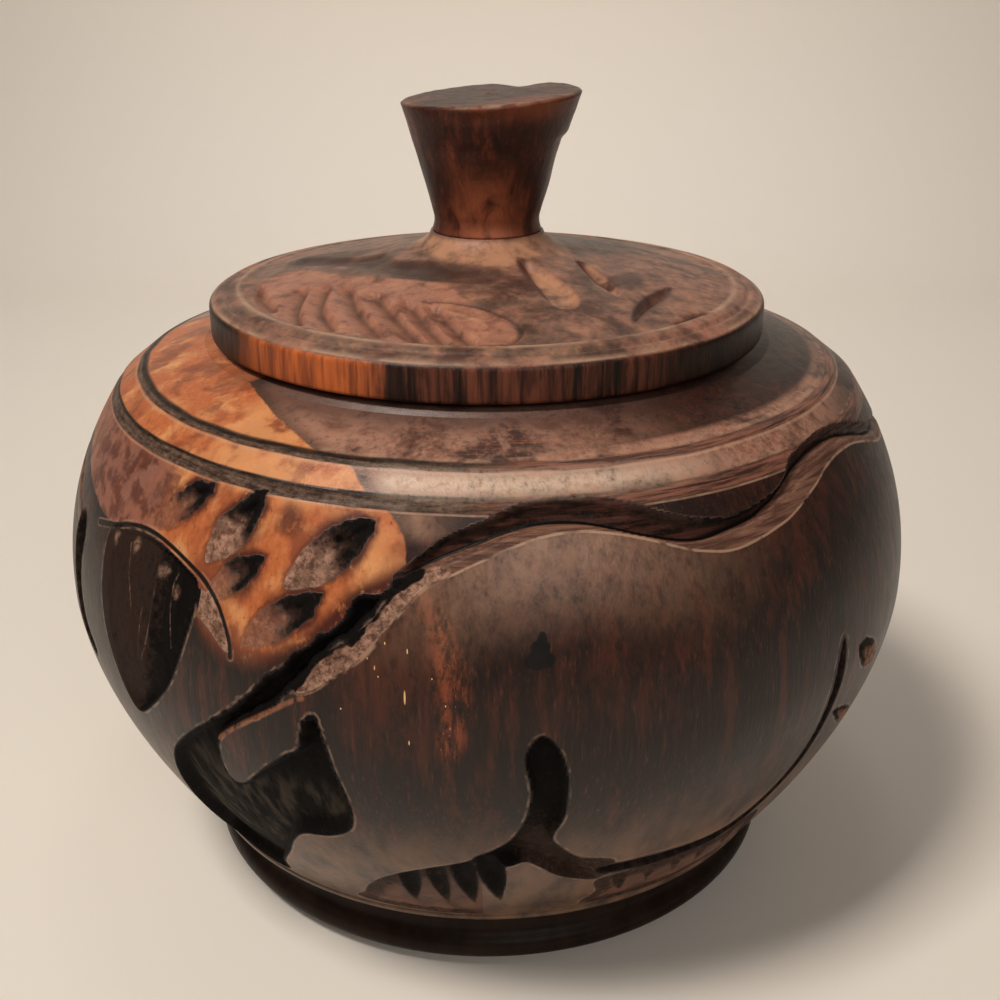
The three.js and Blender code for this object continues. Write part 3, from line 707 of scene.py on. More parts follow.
def cut_ring_channels(skin):
    """Two rough channels, each softer and shallower round on the figure's back."""
    angle = from_front(skin.angles)
    z = ring_heights(skin)
    fibres = skin.rough((3.5, 3.5, 0.5), 82)
    soft = smooth(angle, -12, 14) * smooth(angle, 150, 120)
    for low, high, depth in RING_CHANNELS:
        inside = np.minimum(z - low, high - z) * 1.5
        cut = depth * (1 - 0.45 * soft) * smooth(inside, 0, 0.55 + 0.5 * soft)
        skin.cut(cut * (1 + 0.25 * fibres), np.where(inside > -2, inside, FAR))
    in_ridge = np.minimum(skin.edges["ridge_low"], skin.edges["ridge_top"])
    skin.mark("rough_ring", (1 - 0.6 * soft) * smooth(in_ridge, 0.15, -0.15))
    for line, width in RING_LINES:
        skin.cut(0.14 * near(z, line, width))


def ring_heights(skin):
    return skin.z + 0.06 * skin.noise(5, 81)


def paint_zones(skin):
    """Colour zones of the front that no cut makes, painted highlights among them: a sheen under the ridge
    groove, a patch of it above the groove and a bright line along the ring band.
    """
    angle, z = from_front(skin.angles), skin.z
    line = curve(RIDGE_GROOVE, closed=False, steps=6)
    under_ridge = np.interp(angle, line[:, 0], line[:, 3]) - z
    flare = np.interp(z, *FLARE_EDGE) - angle
    blot = np.hypot(angle + 23.2, (z - 74.2) * 1.1) + 0.8 * skin.rough(1.2, 84)
    for name, amount in (
        ("rust", smooth(skin.within(RUST, 0), -1.2, 1.4)),
        ("flare", smooth(flare, -0.25, 0.1) * smooth(flare, 1.5, 0.3) * near(z, 60, 10)),
        # Painted highlight: a broad grey-brown sheen under the ridge groove, and a small patch above it at
        # the front that is partly the wood's grey tone
        ("painted_sheen", near(angle, 8, 18) * smooth(under_ridge, 13, 0) * smooth(under_ridge, -0.5, 0.3)),
        ("painted_sheen", near(angle, -9, 4) * smooth(z, 73, 74.6) * smooth(z, 77, 76)),
        # Painted highlight along the rounded ring band between the two channels
        ("pale", 0.85 * near(z, 79.25, 0.95) * smooth(angle, -15, -11) * smooth(angle, 38, 12)),
        ("knot", smooth(skin.within(KNOT, 0) + 0.5 * skin.rough(0.9, 83), -0.8, 0.8)),
        ("red", 0.6 * near(angle, 15, 9) * smooth(z, 44, 56)),
        ("red", near(angle, -9, 6) * smooth(z, 44, 52)),
        ("red", 0.9 * near(angle, 42, 14) * smooth(z, 66, 71)),
        ("lumps", smooth(angle, -41, -45) * smooth(z, 78, 75.6) * smooth(angle, -80, -70)),
        ("deep", smooth(z, 62, 58.5)),
        ("deep", 0.7 * smooth(angle, -27, -33) * smooth(z, 70, 65)),
        ("burn", 0.75 * smooth(blot, 2.6, 0.8)),
        ("glow", smooth(z, 74.5, 77) * smooth(angle, -44, -36)),
        ("glow", 0.8 * near(angle, -13, 4) * smooth(z, 64, 68)),
    ):
        skin.mark(name, amount)


def carved_skin():
    skin = Skin()
    for turn in FIGURE_TURNS:
        cut_grass(skin, turn)
        cut_field(skin, turn)
        cut_torn_lip(skin, turn)
        cut_leg_gap(skin, turn)
        cut_soft_line(skin, TAIL_LINE, turn, TAIL_DEPTH)
        cut_soft_line(skin, BACK_LINE, turn, BACK_DEPTH)
        cut_ear(skin, turn)
        cut_crescent(skin, turn)
        cut_gouges(skin, LEAF_GOUGES, turn)
        cut_ridge_groove(skin, turn)
    cut_ring_channels(skin)
    paint_zones(skin)
    inside = np.clip(skin.inside, -EDGE_REACH, EDGE_REACH)
    skin.edges.update(sap=skin.within(SAPWOOD, 0), inside=inside, height=ring_heights(skin))
    return skin


def jar_body():
    skin = carved_skin()
    foot = rounded([
        [AXIS_RADIUS, 0], [FOOT_RADIUS - FOOT_EDGE_ROUND, 0], [FOOT_RADIUS, FOOT_EDGE_ROUND],
        [FOOT_BAND_RADIUS, FOOT_BAND_FULL_HEIGHT], [FOOT_BAND_RADIUS, FOOT_BAND_HEIGHT],
        [FOOT_NECK_RADIUS, FOOT_BAND_HEIGHT + FOOT_NECK_RISE],
        [FOOT_NECK_RADIUS, FOOT_HEIGHT - FOOT_NECK_RISE], skin.profile[0],
    ], FOOT_EDGE_ROUND)
    foot = np.vstack([spaced(foot[:2], INSIDE_SPACING), spaced(foot[2:], FOOT_SPACING)])
    heights = np.linspace(HOLLOW_TOP_Z, HOLLOW_LOW_Z, 12)
    wall = np.stack([belly_radius(heights) - WALL, heights], 1)
    mouth = rounded([skin.profile[-1], [MOUTH_RADIUS, SEAT_Z], [MOUTH_RADIUS, NECK_Z]], MOUTH_EDGE_ROUND)[1:]
    hollow = np.vstack([
        quarter_round([MOUTH_RADIUS, NECK_Z], wall[0], 6), wall,
        quarter_round([FLOOR_RADIUS, FLOOR_Z], wall[-1], 4)[::-1],
        [[FLOOR_RADIUS, FLOOR_Z], [AXIS_RADIUS, FLOOR_Z]],
    ])
    inside = np.vstack([spaced(mouth, 1), spaced(hollow, INSIDE_SPACING)])
    profile = np.vstack([foot[:-1], skin.profile, inside])
    beside = ((len(foot) - 1, len(inside)), (0, 0))
    carved = profile[:, None] - np.pad(skin.depth, beside)[..., None] * outward(profile)[:, None]
    place = ring_points(carved[..., 0], skin.angles, carved[..., 1])
    masks = {name: np.pad(values, beside) for name, values in skin.masks.items()}
    masks.update({name: np.pad(values, beside, mode="edge") for name, values in skin.edges.items()})
    ridge = smooth(masks["ridge_low"], -0.1, 0.1) * smooth(masks["ridge_top"], -0.1, 0.1)
    channel = smooth(masks["height"], BELLY_TOP_Z - 2, BELLY_TOP_Z - 1) * masks["rough_ring"]
    cut = np.maximum.reduce([masks["char_and_shade"], masks["torn"], masks["mauve"], ridge, channel])
    radius, z = profile[:, :1], profile[:, 1:]
    matte = (cut > MATTE_SHARE) & (masks["inside"] > 0)
    matte = matte | (z < FOOT_HEIGHT - 1) & (radius > FOOT_RADIUS - FOOT_EDGE_ROUND)
    return turned_mesh("jar_body_wood", place, run_along(profile), skin.angles, masks, matte)


# Lid

# Radius and height of the top, from the rounded edge in to the knob
LID_TOP = [[39.5, 89.6], [33, 91.1], [26, 92.6], [19, 93.9], [13, 95], [10.6, 95.8], [9.2, 96.7]]
BORDER_RADIUS = 36.3
BORDER_STEP = 0.3
BORDER_RING_RADIUS = 38.6
HIGHLIT_EDGE_RADIUS = 40.5
LID_SAPWOOD_ANGLES = (-60, -16.75)

# The leaf, drop and slit cuts in plan, as [x, y] from the lid's axis with the front towards -y
LID_LEAF = [
    [-33, -7], [-31, -2.5], [-27, -2.6], [-22, -8], [-17, -12], [-11, -15], [-5, -18.5], [-3, -22.5],
    [0, -26.5], [3, -29.5], [4.4, -33], [3.4, -35.6], [-3, -35.9], [-10, -34.6], [-16, -32], [-22, -28.6],
    [-27, -24], [-31, -18.4], [-33, -13],
]
# The dark valleys between the leaf's ribs, from the back to the front, steep towards +x and gentle towards -x
LEAF_VALLEYS = [
    [[-32.6, -7], [-31.6, -12], [-29, -18]],
    [[-25.2, -13.4], [-25.4, -20], [-24.2, -26]],
    [[-22, -14], [-22, -21.5], [-19.6, -27.6]],
    [[-18.8, -14.6], [-17, -23], [-13.4, -30.6]],
    [[-14.6, -19.6], [-10.8, -28], [-8, -33.4]],
    [[-9.6, -23.6], [-7, -30], [-4.8, -34.2]],
    [[-6.2, -25.4], [-3.6, -30.6], [-1.6, -34.4]],
]
VALLEY_DEPTH = 0.95
VALLEY_STEEP_SIDE = 0.75
VALLEY_GENTLE_SIDE = 2.8
# The rounded lobe at the leaf's right end, its crest, worn and painted with a pale orange highlight, and the
# line round it
LOBE_LINE = [[-8, -23], [-5, -23.4], [-1.6, -25], [2, -27.6], [4.4, -30.6], [4.4, -33.4], [2.6, -36]]
LOBE_CREST = [[-5.6, -26.6], [-2.8, -28], [-0.6, -29.8], [0.4, -32.4]]
DROPS = [
    [[4.2, -10], [5.2, -15], [6.8, -20], [8.2, -24], [10.6, -25.4], [12.8, -23.4], [12.4, -19], [9.6, -14],
     [7, -10.4]],
    [[12.6, -7], [13.8, -12], [15.8, -17], [18, -19.6], [18.6, -16.4], [16.6, -11.4], [14.6, -7.6]],
]
# The drops' left walls
DROP_WALLS = [[[4.4, -9.6], [5.4, -15], [7.2, -21]], [[12.8, -7.4], [14, -12], [15.6, -15.4]]]
SLIT = [
    [25.8, -12.4], [25.2, -15.6], [23.4, -19.4], [21.2, -23.4], [19.4, -27.2], [19.6, -23.8], [20.8, -20.4],
    [22.8, -16.6],
]
SCRATCH = [[30, -20.5], [27.5, -22.6], [25, -25.4]]
HOLLOW_STREAK = [
    [-29, 8], [-25, 5.6], [-21, 1], [-16, -1], [-15.4, 1.4], [-13.4, -3.6], [-12, -7], [-6, -9.4], [0, -12.6],
    [3, -14], [2, -18.6], [-3, -18.6], [-9, -16.4], [-15, -12.4], [-20, -6.4], [-26, -1.4], [-30.4, 3],
]
APRON = [
    [-10.6, 2], [-10, -4], [-8, -7.6], [-5.6, -10.2], [-2, -12.2], [2, -12.8], [4, -12.4], [4.6, -10],
    [6.4, -9.2], [9.4, -7], [12.4, -4], [11.4, 2], [8, 8], [0, 10.6], [-7.4, 8],
]


def lid():
    angles = np.arange(LID_COLUMNS) * 360 / LID_COLUMNS
    under = rounded([
        [AXIS_RADIUS, LID_LOW[2]], [PLUG_RADIUS - PLUG_TAPER, LID_LOW[2]], [PLUG_RADIUS, LID_Z],
        [LID_RADIUS, LID_Z], [LID_RADIUS, LID_RIM_Z],
    ], LID_EDGE_ROUND)
    side = rounded([[LID_RADIUS, LID_RIM_Z], [LID_RADIUS, LID_EDGE_Z], LID_TOP[0]], LID_EDGE_ROUND)
    top = curve(LID_TOP + [[COLLAR_RADIUS, KNOB_Z]], closed=False)
    hole = spaced([
        [COLLAR_RADIUS, KNOB_Z], [HOLE_RADIUS, KNOB_Z], [HOLE_RADIUS, HOLE_Z], [AXIS_RADIUS, HOLE_Z],
    ], LID_UNDER_SPACING)
    profile = np.vstack([
        spaced(under, LID_UNDER_SPACING)[:-1], spaced(side, LID_SIDE_SPACING)[:-1],
        evenly(top, LID_TOP_SPACING), hole[1:],
    ])
    place = ring_points(profile[:, :1], angles, profile[:, 1:])
    upper = ((profile[:, 1] > LID_EDGE_Z + 0.2) & (profile[:, 0] > COLLAR_RADIUS))[:, None]
    depth, masks = carve_lid(place)
    masks = {name: amount * upper for name, amount in masks.items()}
    turn = from_front(angles)
    start, end = LID_SAPWOOD_ANGLES
    masks["sap"] = np.minimum(turn - start, end - turn) * LID_RADIUS * math.radians(1) + 0 * depth
    place[..., 2] -= depth * upper
    return turned_mesh("lid_wood", place, run_along(profile), angles, masks)


def carve_lid(place):
    """How deep the lid's top is cut in mm, and the masks that its colours follow."""
    x, y = place[..., 0], place[..., 1]
    radius = np.hypot(x, y)
    masks = {name: np.zeros_like(x) for name in ("shade", "pale", "red")}

    def mark(name, amount):
        masks[name] = np.maximum(masks[name], amount)

    def off(line):
        return line_distance(x, y, curve(line, closed=False))

    def within(outline):
        return signed_distance(x, y, curve(outline))

    leaf = within(LID_LEAF)
    valleys = np.zeros_like(x)
    for line in LEAF_VALLEYS:
        side = side_of_line(x, y, curve(line, closed=False))
        valleys = np.maximum(valleys, np.where(
            side < 0, smooth(-side, VALLEY_STEEP_SIDE, 0), smooth(side, VALLEY_GENTLE_SIDE, 0)))
    sunk = 0.15 * smooth(leaf, 0, 1.6) + VALLEY_DEPTH * valleys * smooth(leaf, -0.3, 1)
    mark("shade", 0.8 * valleys ** 4 * smooth(leaf, 0, 0.8))
    lobe, crest = near(off(LOBE_LINE), 0, 0.35), off(LOBE_CREST)
    sunk = sunk + 0.35 * lobe - 0.15 * smooth(crest, 1.2, 0)
    mark("shade", 0.8 * lobe)
    # Painted highlight, partly wear: the lobe's crest is pale
    mark("pale", smooth(crest, 0.7, 0.1))
    for outline, wall in zip(DROPS, DROP_WALLS):
        drop, left = within(outline), off(wall)
        sunk = np.maximum(sunk, 0.95 * smooth(drop, 0, 1.6))
        # Painted highlight: each drop's floor away from its left wall is pale
        mark("pale", 0.9 * smooth(drop, 0, 0.8) * smooth(left, 0.8, 1.8))
        mark("red", smooth(left, 1.7, 0.7) * smooth(drop, -0.3, 0.3))
    slit, scratch, streak = within(SLIT), off(SCRATCH), within(HOLLOW_STREAK)
    for cut in (1.1 * smooth(slit, -0.1, 0.9), 0.4 * smooth(scratch, 0.6, 0), 0.5 * smooth(streak, 0, 2.4)):
        sunk = np.maximum(sunk, cut)
    mark("red", smooth(slit, 0.3, 0.9))
    for shade in (near(slit, 0.1, 0.4), smooth(scratch, 0.5, 0.1), 0.75 * smooth(streak, -0.6, 1.4)):
        mark("shade", shade)
    mark("pale", 0.9 * smooth(within(APRON), -0.4, 0.8))
    masks["leaf"] = smooth(leaf, -0.3, 0.6)
    # Wear and painted highlights: pale lines on the border step and round the top's outer edge
    masks["wear_and_highlight"] = near(radius, BORDER_RADIUS + 0.4, 0.4) + near(radius, HIGHLIT_EDGE_RADIUS, 0.4)
    border = BORDER_STEP * smooth(radius, BORDER_RADIUS + 0.25, BORDER_RADIUS - 0.25)
    ring = 0.45 * near(radius, BORDER_RING_RADIUS, 0.3)
    return sunk + border + ring + 0.03 * rough(place, 5, 91), masks


# Knob

def knob():
    angles = np.arange(KNOB_COLUMNS) * 360 / KNOB_COLUMNS
    low, cone, top = (KNOB_Z + rise for rise in (KNOB_GLUE_LINE, KNOB_COVE_HEIGHT, KNOB_HEIGHT))
    tenon = rounded([
        [KNOB_AXIS_RADIUS, KNOB_LOW[2]], [TENON_RADIUS, KNOB_LOW[2]], [TENON_RADIUS, low],
        [KNOB_NECK_RADIUS, low],
    ], TENON_ROUND)
    side = curve([
        [KNOB_NECK_RADIUS + 0.15, low], [KNOB_NECK_RADIUS - 0.2, low + 1.6], [KNOB_NECK_RADIUS + 0.1, cone],
        [9.3, cone + 4.2], [10.7, cone + 8.6], [12, cone + 12.6], [KNOB_TOP_RADIUS, top - 0.6],
    ], closed=False)
    cap = rounded([
        [KNOB_TOP_RADIUS, top - 0.6], [KNOB_TOP_RADIUS - 0.5, top - 0.1], [KNOB_AXIS_RADIUS, top],
    ], KNOB_EDGE_ROUND)
    profile = np.vstack([
        spaced(tenon, 1)[:-1], evenly(side, KNOB_SPACING)[:-1], spaced(cap, 2 * KNOB_SPACING),
    ])
    place = ring_points(profile[:, :1], angles, profile[:, 1:])
    share = np.clip((place[..., 2] - cone) / (top - cone), 0, 1)
    place, masks = carve_knob(place, share, from_front(angles))
    slant = sum(place[..., k] * math.tan(math.radians(tilt)) for k, tilt in enumerate(KNOB_TILTS))
    place[..., 2] += slant * share
    place[..., 0] += KNOB_LEAN * share
    place[..., 2] = np.minimum(place[..., 2], KNOB_HIGH[2])
    return turned_mesh("knob_wood", place, run_along(profile), angles, masks)


def carve_knob(place, share, turn):
    """The knob's points with its chip, dents and worn top, and the masks that its colours follow."""
    radius = np.hypot(place[..., 0], place[..., 1])
    outer = smooth(radius, 7, 8)
    chip = near(turn, 88, 26) * smooth(share, 0.66, 0.6) * smooth(share, 0.1, 0.5)
    dent = 0.75 * chip + 0.12 * (1 + rough(place, 4, 101)) + 0.1 * smooth(noise(place, 2.4, 102), 0.3, 0.8)
    notch = 0.5 * near(turn, -38, 9) * smooth(share, 0.9, 1)
    dip = 0.6 * near(turn, 160, 12) * smooth(share, 0.92, 1)
    place = place.copy()
    place[..., :2] *= (1 - outer * share ** 0.5 * (dent + notch) / np.maximum(radius, 1))[..., None]
    place[..., 2] -= outer * dip + 0.15 * (1 + rough(place, 3, 103)) * smooth(share, 0.97, 1)
    return place, {
        # Painted highlight: a pale line round the top lip, strongest at the front
        "lip": near(share, 1, 0.035) * smooth(radius, 11.6, 12.6) * (0.3 + 0.7 * near(turn, 4, 24)),
        "tan": near(turn, 0, 44) * near(share, 0.04, 0.32) * outer,
        "rim": near(turn, 30, 34) * near(share, 0.93, 0.1) * outer,
    }


# Materials

# The cut and charred wood takes no wax, so it shines less
WAXED_IOR = 1.4
LID_IOR = 1.3
CUT_IOR = 1.18


def srgb(red, green, blue):
    """A colour as it looks on a screen, from 0 to 255, as the shader's own numbers."""
    return tuple(((channel / 255 + 0.055) / 1.055) ** 2.4 for channel in (red, green, blue)) + (1.0,)


HEART_BLACK = srgb(24, 15, 12)
HEART_DARK = srgb(27, 15, 11)
HEART_RED = srgb(72, 34, 22)
HEART_PALE = srgb(122, 80, 56)
SHOULDER = srgb(172, 127, 105)
SHOULDER_RED = srgb(180, 114, 88)
SHOULDER_DARK = srgb(70, 50, 45)
SAP = srgb(184, 100, 56)
SAP_PALE = srgb(218, 150, 96)
SAP_RED = srgb(128, 66, 42)
SAP_DARK = srgb(70, 38, 26)
CHAR_AND_SHADE_BLACK = srgb(14, 10, 9)
CUT_BROWN = srgb(48, 33, 27)
BURNT = srgb(74, 32, 23)
SAP_DEEP = srgb(108, 54, 36)
LUMPS = srgb(140, 92, 76)
LUMPS_DARK = srgb(88, 50, 42)
HAZE = srgb(84, 74, 64)
MAUVE_BROWN = srgb(116, 80, 65)
TORN = srgb(178, 136, 114)
TORN_DARK = srgb(88, 61, 50)
RING = srgb(138, 88, 70)
RING_DARK = srgb(60, 38, 32)
RING_ROUGH = srgb(124, 98, 82)
RING_ROUGH_DARK = srgb(54, 40, 33)
WALL_BROWN = srgb(86, 52, 42)
BEVEL = srgb(134, 96, 78)
BEVEL_DARK = srgb(84, 56, 46)
RUST_RED = srgb(140, 70, 42)
PAINTED_SHEEN_GREY = srgb(164, 122, 98)
SHEEN = srgb(216, 186, 162)
PALE = srgb(192, 152, 124)
CHIP = srgb(168, 104, 72)
NICK = srgb(232, 186, 130)
MAUVE = srgb(144, 100, 82)
MAUVE_GREY = srgb(114, 86, 72)
MAUVE_PINK = srgb(178, 118, 94)
MAUVE_DARK = srgb(62, 42, 36)
RIM_ORANGE = srgb(200, 104, 52)
RIM_BROWN = srgb(116, 64, 46)
RIM_DARK = srgb(66, 38, 29)
TAN = srgb(196, 142, 108)
KNOB_DARK = srgb(50, 25, 18)
KNOB_RED = srgb(108, 52, 35)
KNOB_TAN = srgb(158, 88, 60)
FLOOR_REFLECTION_TAN = srgb(142, 104, 76)


class Field:
    """A number or colour over the wood's surface: the output of a node, which leads into further nodes."""

    def __init__(self, wood, socket):
        self.wood = wood
        self.socket = socket

    def __add__(self, other):
        return self.joined("ADD", other)

    def __sub__(self, other):
        return self.joined("SUBTRACT", other)

    def __mul__(self, other):
        return self.joined("MULTIPLY", other)

    def most(self, other):
        """The greater of the two."""
        return self.joined("MAXIMUM", other)

    def joined(self, operation, other):
        return self.wood.node("Math", {0: self, 1: other}, operation=operation)

    def band(self, low, high):
        """0 at low, 1 at high and smooth between, where low may be the greater number."""
        ends = (low, high, 0, 1) if low < high else (high, low, 1, 0)
        inputs = dict(enumerate((self, *ends)))
        return self.wood.node("MapRange", inputs, interpolation_type="SMOOTHSTEP")

    def line(self, centre, half):
        """1 along a soft-edged line that reaches about half to each side of the centre, and 0 elsewhere."""
        return (self.band(centre - 1.5 * half, centre - 0.5 * half)
                * self.band(centre + 1.5 * half, centre + 0.5 * half))


class Wood:
    """A material's node tree, with short calls for the nodes that wood needs."""

    def __init__(self, name):
        self.material = bpy.data.materials.new(name)
        self.material.use_nodes = True
        self.tree = self.material.node_tree
        self.tree.nodes.clear()
        self.place = self.vector("MULTIPLY", self.node("TexCoord", {}, "Object"), (1 / MM, 1 / MM, 1 / MM))
        self.x, self.z = (self.node("SeparateXYZ", {0: self.place}, axis) for axis in "XZ")
        self.from_axis = self.vector("LENGTH", self.vector("MULTIPLY", self.place, (1, 1, 0)), output="Value")

    def node(self, kind, inputs, output=0, **settings):
        """A new node's output, with its settings made and its inputs set or linked."""
        node = self.tree.nodes.new("ShaderNode" + kind)
        for setting, value in settings.items():
            setattr(node, setting, value)
        for key, value in inputs.items():
            if isinstance(value, Field):
                self.tree.links.new(value.socket, node.inputs[key])
            else:
                node.inputs[key].default_value = value
        return Field(self, node.outputs[output])

    def vector(self, operation, a, b=(0, 0, 0), output=0):
        return self.node("VectorMath", {0: a, 1: b}, output, operation=operation)

    def noise(self, along, scale, detail=4.0, roughness=0.55, distortion=0.0, around=1):
        """Noise from 0 to 1, with bumps 1 / scale mm across.

        They are longer along Z where `along` is small, and longer across it where `around` is small. These
        last ones still change with the distance from the axis.
        """
        place = self.vector("MULTIPLY", self.place, (around, around, along))
        inputs = {"Vector": place, "Scale": scale, "Detail": detail, "Roughness": roughness,
                  "Distortion": distortion}
        if around == 1:
            return self.node("TexNoise", inputs)
        return self.node("TexNoise", {**inputs, "W": self.from_axis}, noise_dimensions="4D")

    def mask(self, name):
        return self.node("Attribute", {}, "Fac", attribute_name=name)

    def spot(self, centre, half):
        """1 inside a small smooth-edged spot with these half widths along X, Y and Z, and 0 outside it."""
        off = self.vector("DIVIDE", self.vector("SUBTRACT", self.place, centre), half)
        return self.vector("LENGTH", off, output="Value").band(1.1, 0.75)

    def over(self, colour, *layers):
        """The colour with each layer's own colour laid over it by the layer's share, in turn."""
        for share, layer in layers:
            inputs = {0: share, 6: colour, 7: layer}
            colour = self.node("Mix", inputs, 2, data_type="RGBA", clamp_factor=True)
        return colour

    def heartwood(self, dark=HEART_DARK, red=HEART_RED):
        """Dark wood in streaks along Z, with reddish blotches and fine dark pores."""
        return self.over(
            dark,
            (self.noise(0.08, 0.5, 5, 0.65, 0.3).band(0.42, 0.68), red),
            (self.noise(0.4, 0.12, 4, 0.62, 0.8).band(0.44, 0.6) * 0.75, dark),
            (self.noise(0.1, 2.4, 4, 0.7).band(0.52, 0.74) * 0.3, HEART_PALE),
            (self.noise(0.25, 0.28, 5, 0.65).band(0.47, 0.4) * 0.7, HEART_BLACK),
            (self.noise(0.18, 3.4, 3, 0.6).band(0.42, 0.3) * 0.6, HEART_BLACK),
        )

    def shoulder(self):
        """The greyish brown of the wood where it is cut across the grain, with the lathe's fine lines."""
        blotch = self.noise(1, 0.16, 5, 0.6, 0.5)
        fleck = self.noise(0.5, 1.1, 5, 0.7)
        lines = self.noise(1, 3.2, 3, 0.6, around=0.05)
        mottled = self.from_axis * 0.05 + blotch * -0.8
        return self.over(
            SHOULDER_DARK,
            (blotch.band(0.34, 0.54), SHOULDER),
            (blotch.band(0.54, 0.68) * 0.5, SHOULDER_RED),
            (fleck.band(0.5, 0.7) * 0.5, SHOULDER_RED),
            (lines.band(0.5, 0.68) * 0.35, SHOULDER_RED),
            (mottled.band(1.96, 1.7) * 0.75, SHOULDER_DARK),
            (fleck.band(0.48, 0.3) * 0.6, SHOULDER_DARK),
        )

    def sapwood(self):
        """Orange wood with red-brown clouds, fine lines along Z and dark specks."""
        fine = self.noise(0.12, 1.8, 5, 0.65)
        return self.over(
            SAP,
            (self.noise(0.8, 0.22, 4, 0.6).band(0.45, 0.72), SAP_PALE),
            (fine.band(0.5, 0.72) * 0.3, SAP_PALE),
            (self.noise(0.7, 0.15, 5, 0.6, 0.4).band(0.45, 0.62) * 0.8, SAP_RED),
            (fine.band(0.5, 0.3) * 0.35, SAP_RED),
            (self.noise(0.5, 1.3, 5, 0.75).band(0.41, 0.3) * 0.8, SAP_DARK),
        )

    def finish(self, colour, roughness, height, strength=0.3, ior=LID_IOR):
        bump = self.node("Bump", {"Strength": strength, "Distance": GRAIN_DEPTH, "Height": height})
        shader = self.node("BsdfPrincipled", {
            "Base Color": colour, "Roughness": roughness, "IOR": ior, "Normal": bump})
        output = self.tree.nodes.new("ShaderNodeOutputMaterial")
        self.tree.links.new(shader.socket, output.inputs["Surface"])
        return self.material


def body_wood(name, ior):
    """The jar's wood, polished or where it is cut and charred."""
    wood = Wood(name)
    x, z = wood.x, wood.z
    fibre = wood.noise(1, 1.1, 6, 0.75)
    speckle = wood.noise(0.45, 1.1, 5, 0.7)
    char_and_shade, torn, rust, painted_sheen = (wood.mask(mask) for mask in ("char_and_shade", "torn", "rust", "painted_sheen"))
    within = wood.mask("inside").band(-0.08, 0.12)
    # Painted light and shade: the shoulder's own colour is laid only on its lit side, and its right side
    # keeps the dark heartwood as painted shade
    lit = x.band(30, 4).most(z.band(RING_Z + 0.4, RING_Z) * x.band(54, 42))
    flame = (rust * wood.noise(0.12, 1.5, 5, 0.7).band(0.4, 0.62)).most(wood.mask("flare"))
    softer = speckle * 0.4 + wood.noise(0.6, 0.5, 5, 0.65) * 0.6
    colour = wood.over(
        wood.heartwood(),
        (z.band(BELLY_TOP_Z - 0.6, BELLY_TOP_Z + 0.2) * lit * 0.92, wood.shoulder()),
        # Painted reflection: patchy pale tan on the lower belly, standing in for the pale floor reflected
        # there
        (z.band(42, 24) * wood.noise(0.3, 0.25, 3).band(0.2, 0.7) * 0.6, FLOOR_REFLECTION_TAN),
        # Painted shade: the foot is turned almost black, as the shade under the overhanging belly
        (z.band(FOOT_HEIGHT, FOOT_HEIGHT - 1) * 0.93, HEART_BLACK),
        (wood.mask("red") * speckle.band(0.35, 0.65) * 0.7, HEART_RED),
        (flame * speckle.band(0.34, 0.58) * 0.9, RUST_RED),
        (wood.noise(0.5, 1.7, 3, 0.6).band(0.66, 0.72) * rust, CHIP),
        # Painted highlight: the sheen's grey-brown and its warm mottles
        (painted_sheen * softer.band(0.22, 0.62) * 0.78, PAINTED_SHEEN_GREY),
        (painted_sheen * wood.noise(0.6, 0.3, 5, 0.65).band(0.5, 0.66) * 0.45, HEART_PALE),
    )
    colour = sap_side(wood, colour, speckle)
    colour = ridge_colours(wood, colour, fibre)
    colour = ring_colours(wood, colour, fibre)
    petals = wood.noise(0.3, 0.4, 4, 0.6).band(0.25, 0.6) * z.band(27, 14)
    cloud = wood.noise(1, 0.45, 3, 0.5).band(0.44, 0.62)
    torn_wood = wood.over(TORN_DARK, (fibre.band(0.36, 0.64), TORN), (cloud * 0.55, TORN_DARK))
    ragged = char_and_shade + (fibre - 0.5) * 1.4 * char_and_shade.band(0, 0.2)
    haze = wood.mask("haze") * wood.noise(0.12, 0.5, 3, 0.5).band(0.44, 0.66)
    colour = wood.over(
        colour,
        (wood.mask("mauve") * within * 0.9, wood.over(MAUVE_DARK, (petals, MAUVE_BROWN))),
        (torn * within, torn_wood),
        (ragged.band(0.2, 0.66) * within, wood.over(CHAR_AND_SHADE_BLACK, (ragged.band(0.95, 0.6), CUT_BROWN))),
        # Painted highlight: the ring band's bright line
        (wood.mask("pale") * speckle.band(0.2, 0.6), SHEEN),
        (wood.mask("spots") * fibre.band(0.34, 0.6), TORN),
        (haze * 0.6, HAZE),
    )
    colour = edge_lines(wood, colour, speckle)
    colour = wood.over(colour, (wood.mask("knot").band(0.4, 0.6), CHAR_AND_SHADE_BLACK))
    for (angle, height), half_width, half_height in NICKS:
        centre = ring_points(float(belly_radius(height)), angle, height)
        size = (half_width, NICK_HALF_DEPTH, half_height)
        colour = wood.over(colour, (wood.spot(tuple(centre), size), NICK))
    coarse = torn.most(char_and_shade) * within
    roughness = wood.noise(0.3, 0.8) * 0.22 + 0.26 + coarse * 0.4
    height = wood.noise(0.1, 3.0, 4, 0.6) * 0.35 + coarse * fibre
    return wood.finish(colour, roughness, height, strength=0.5, ior=ior)


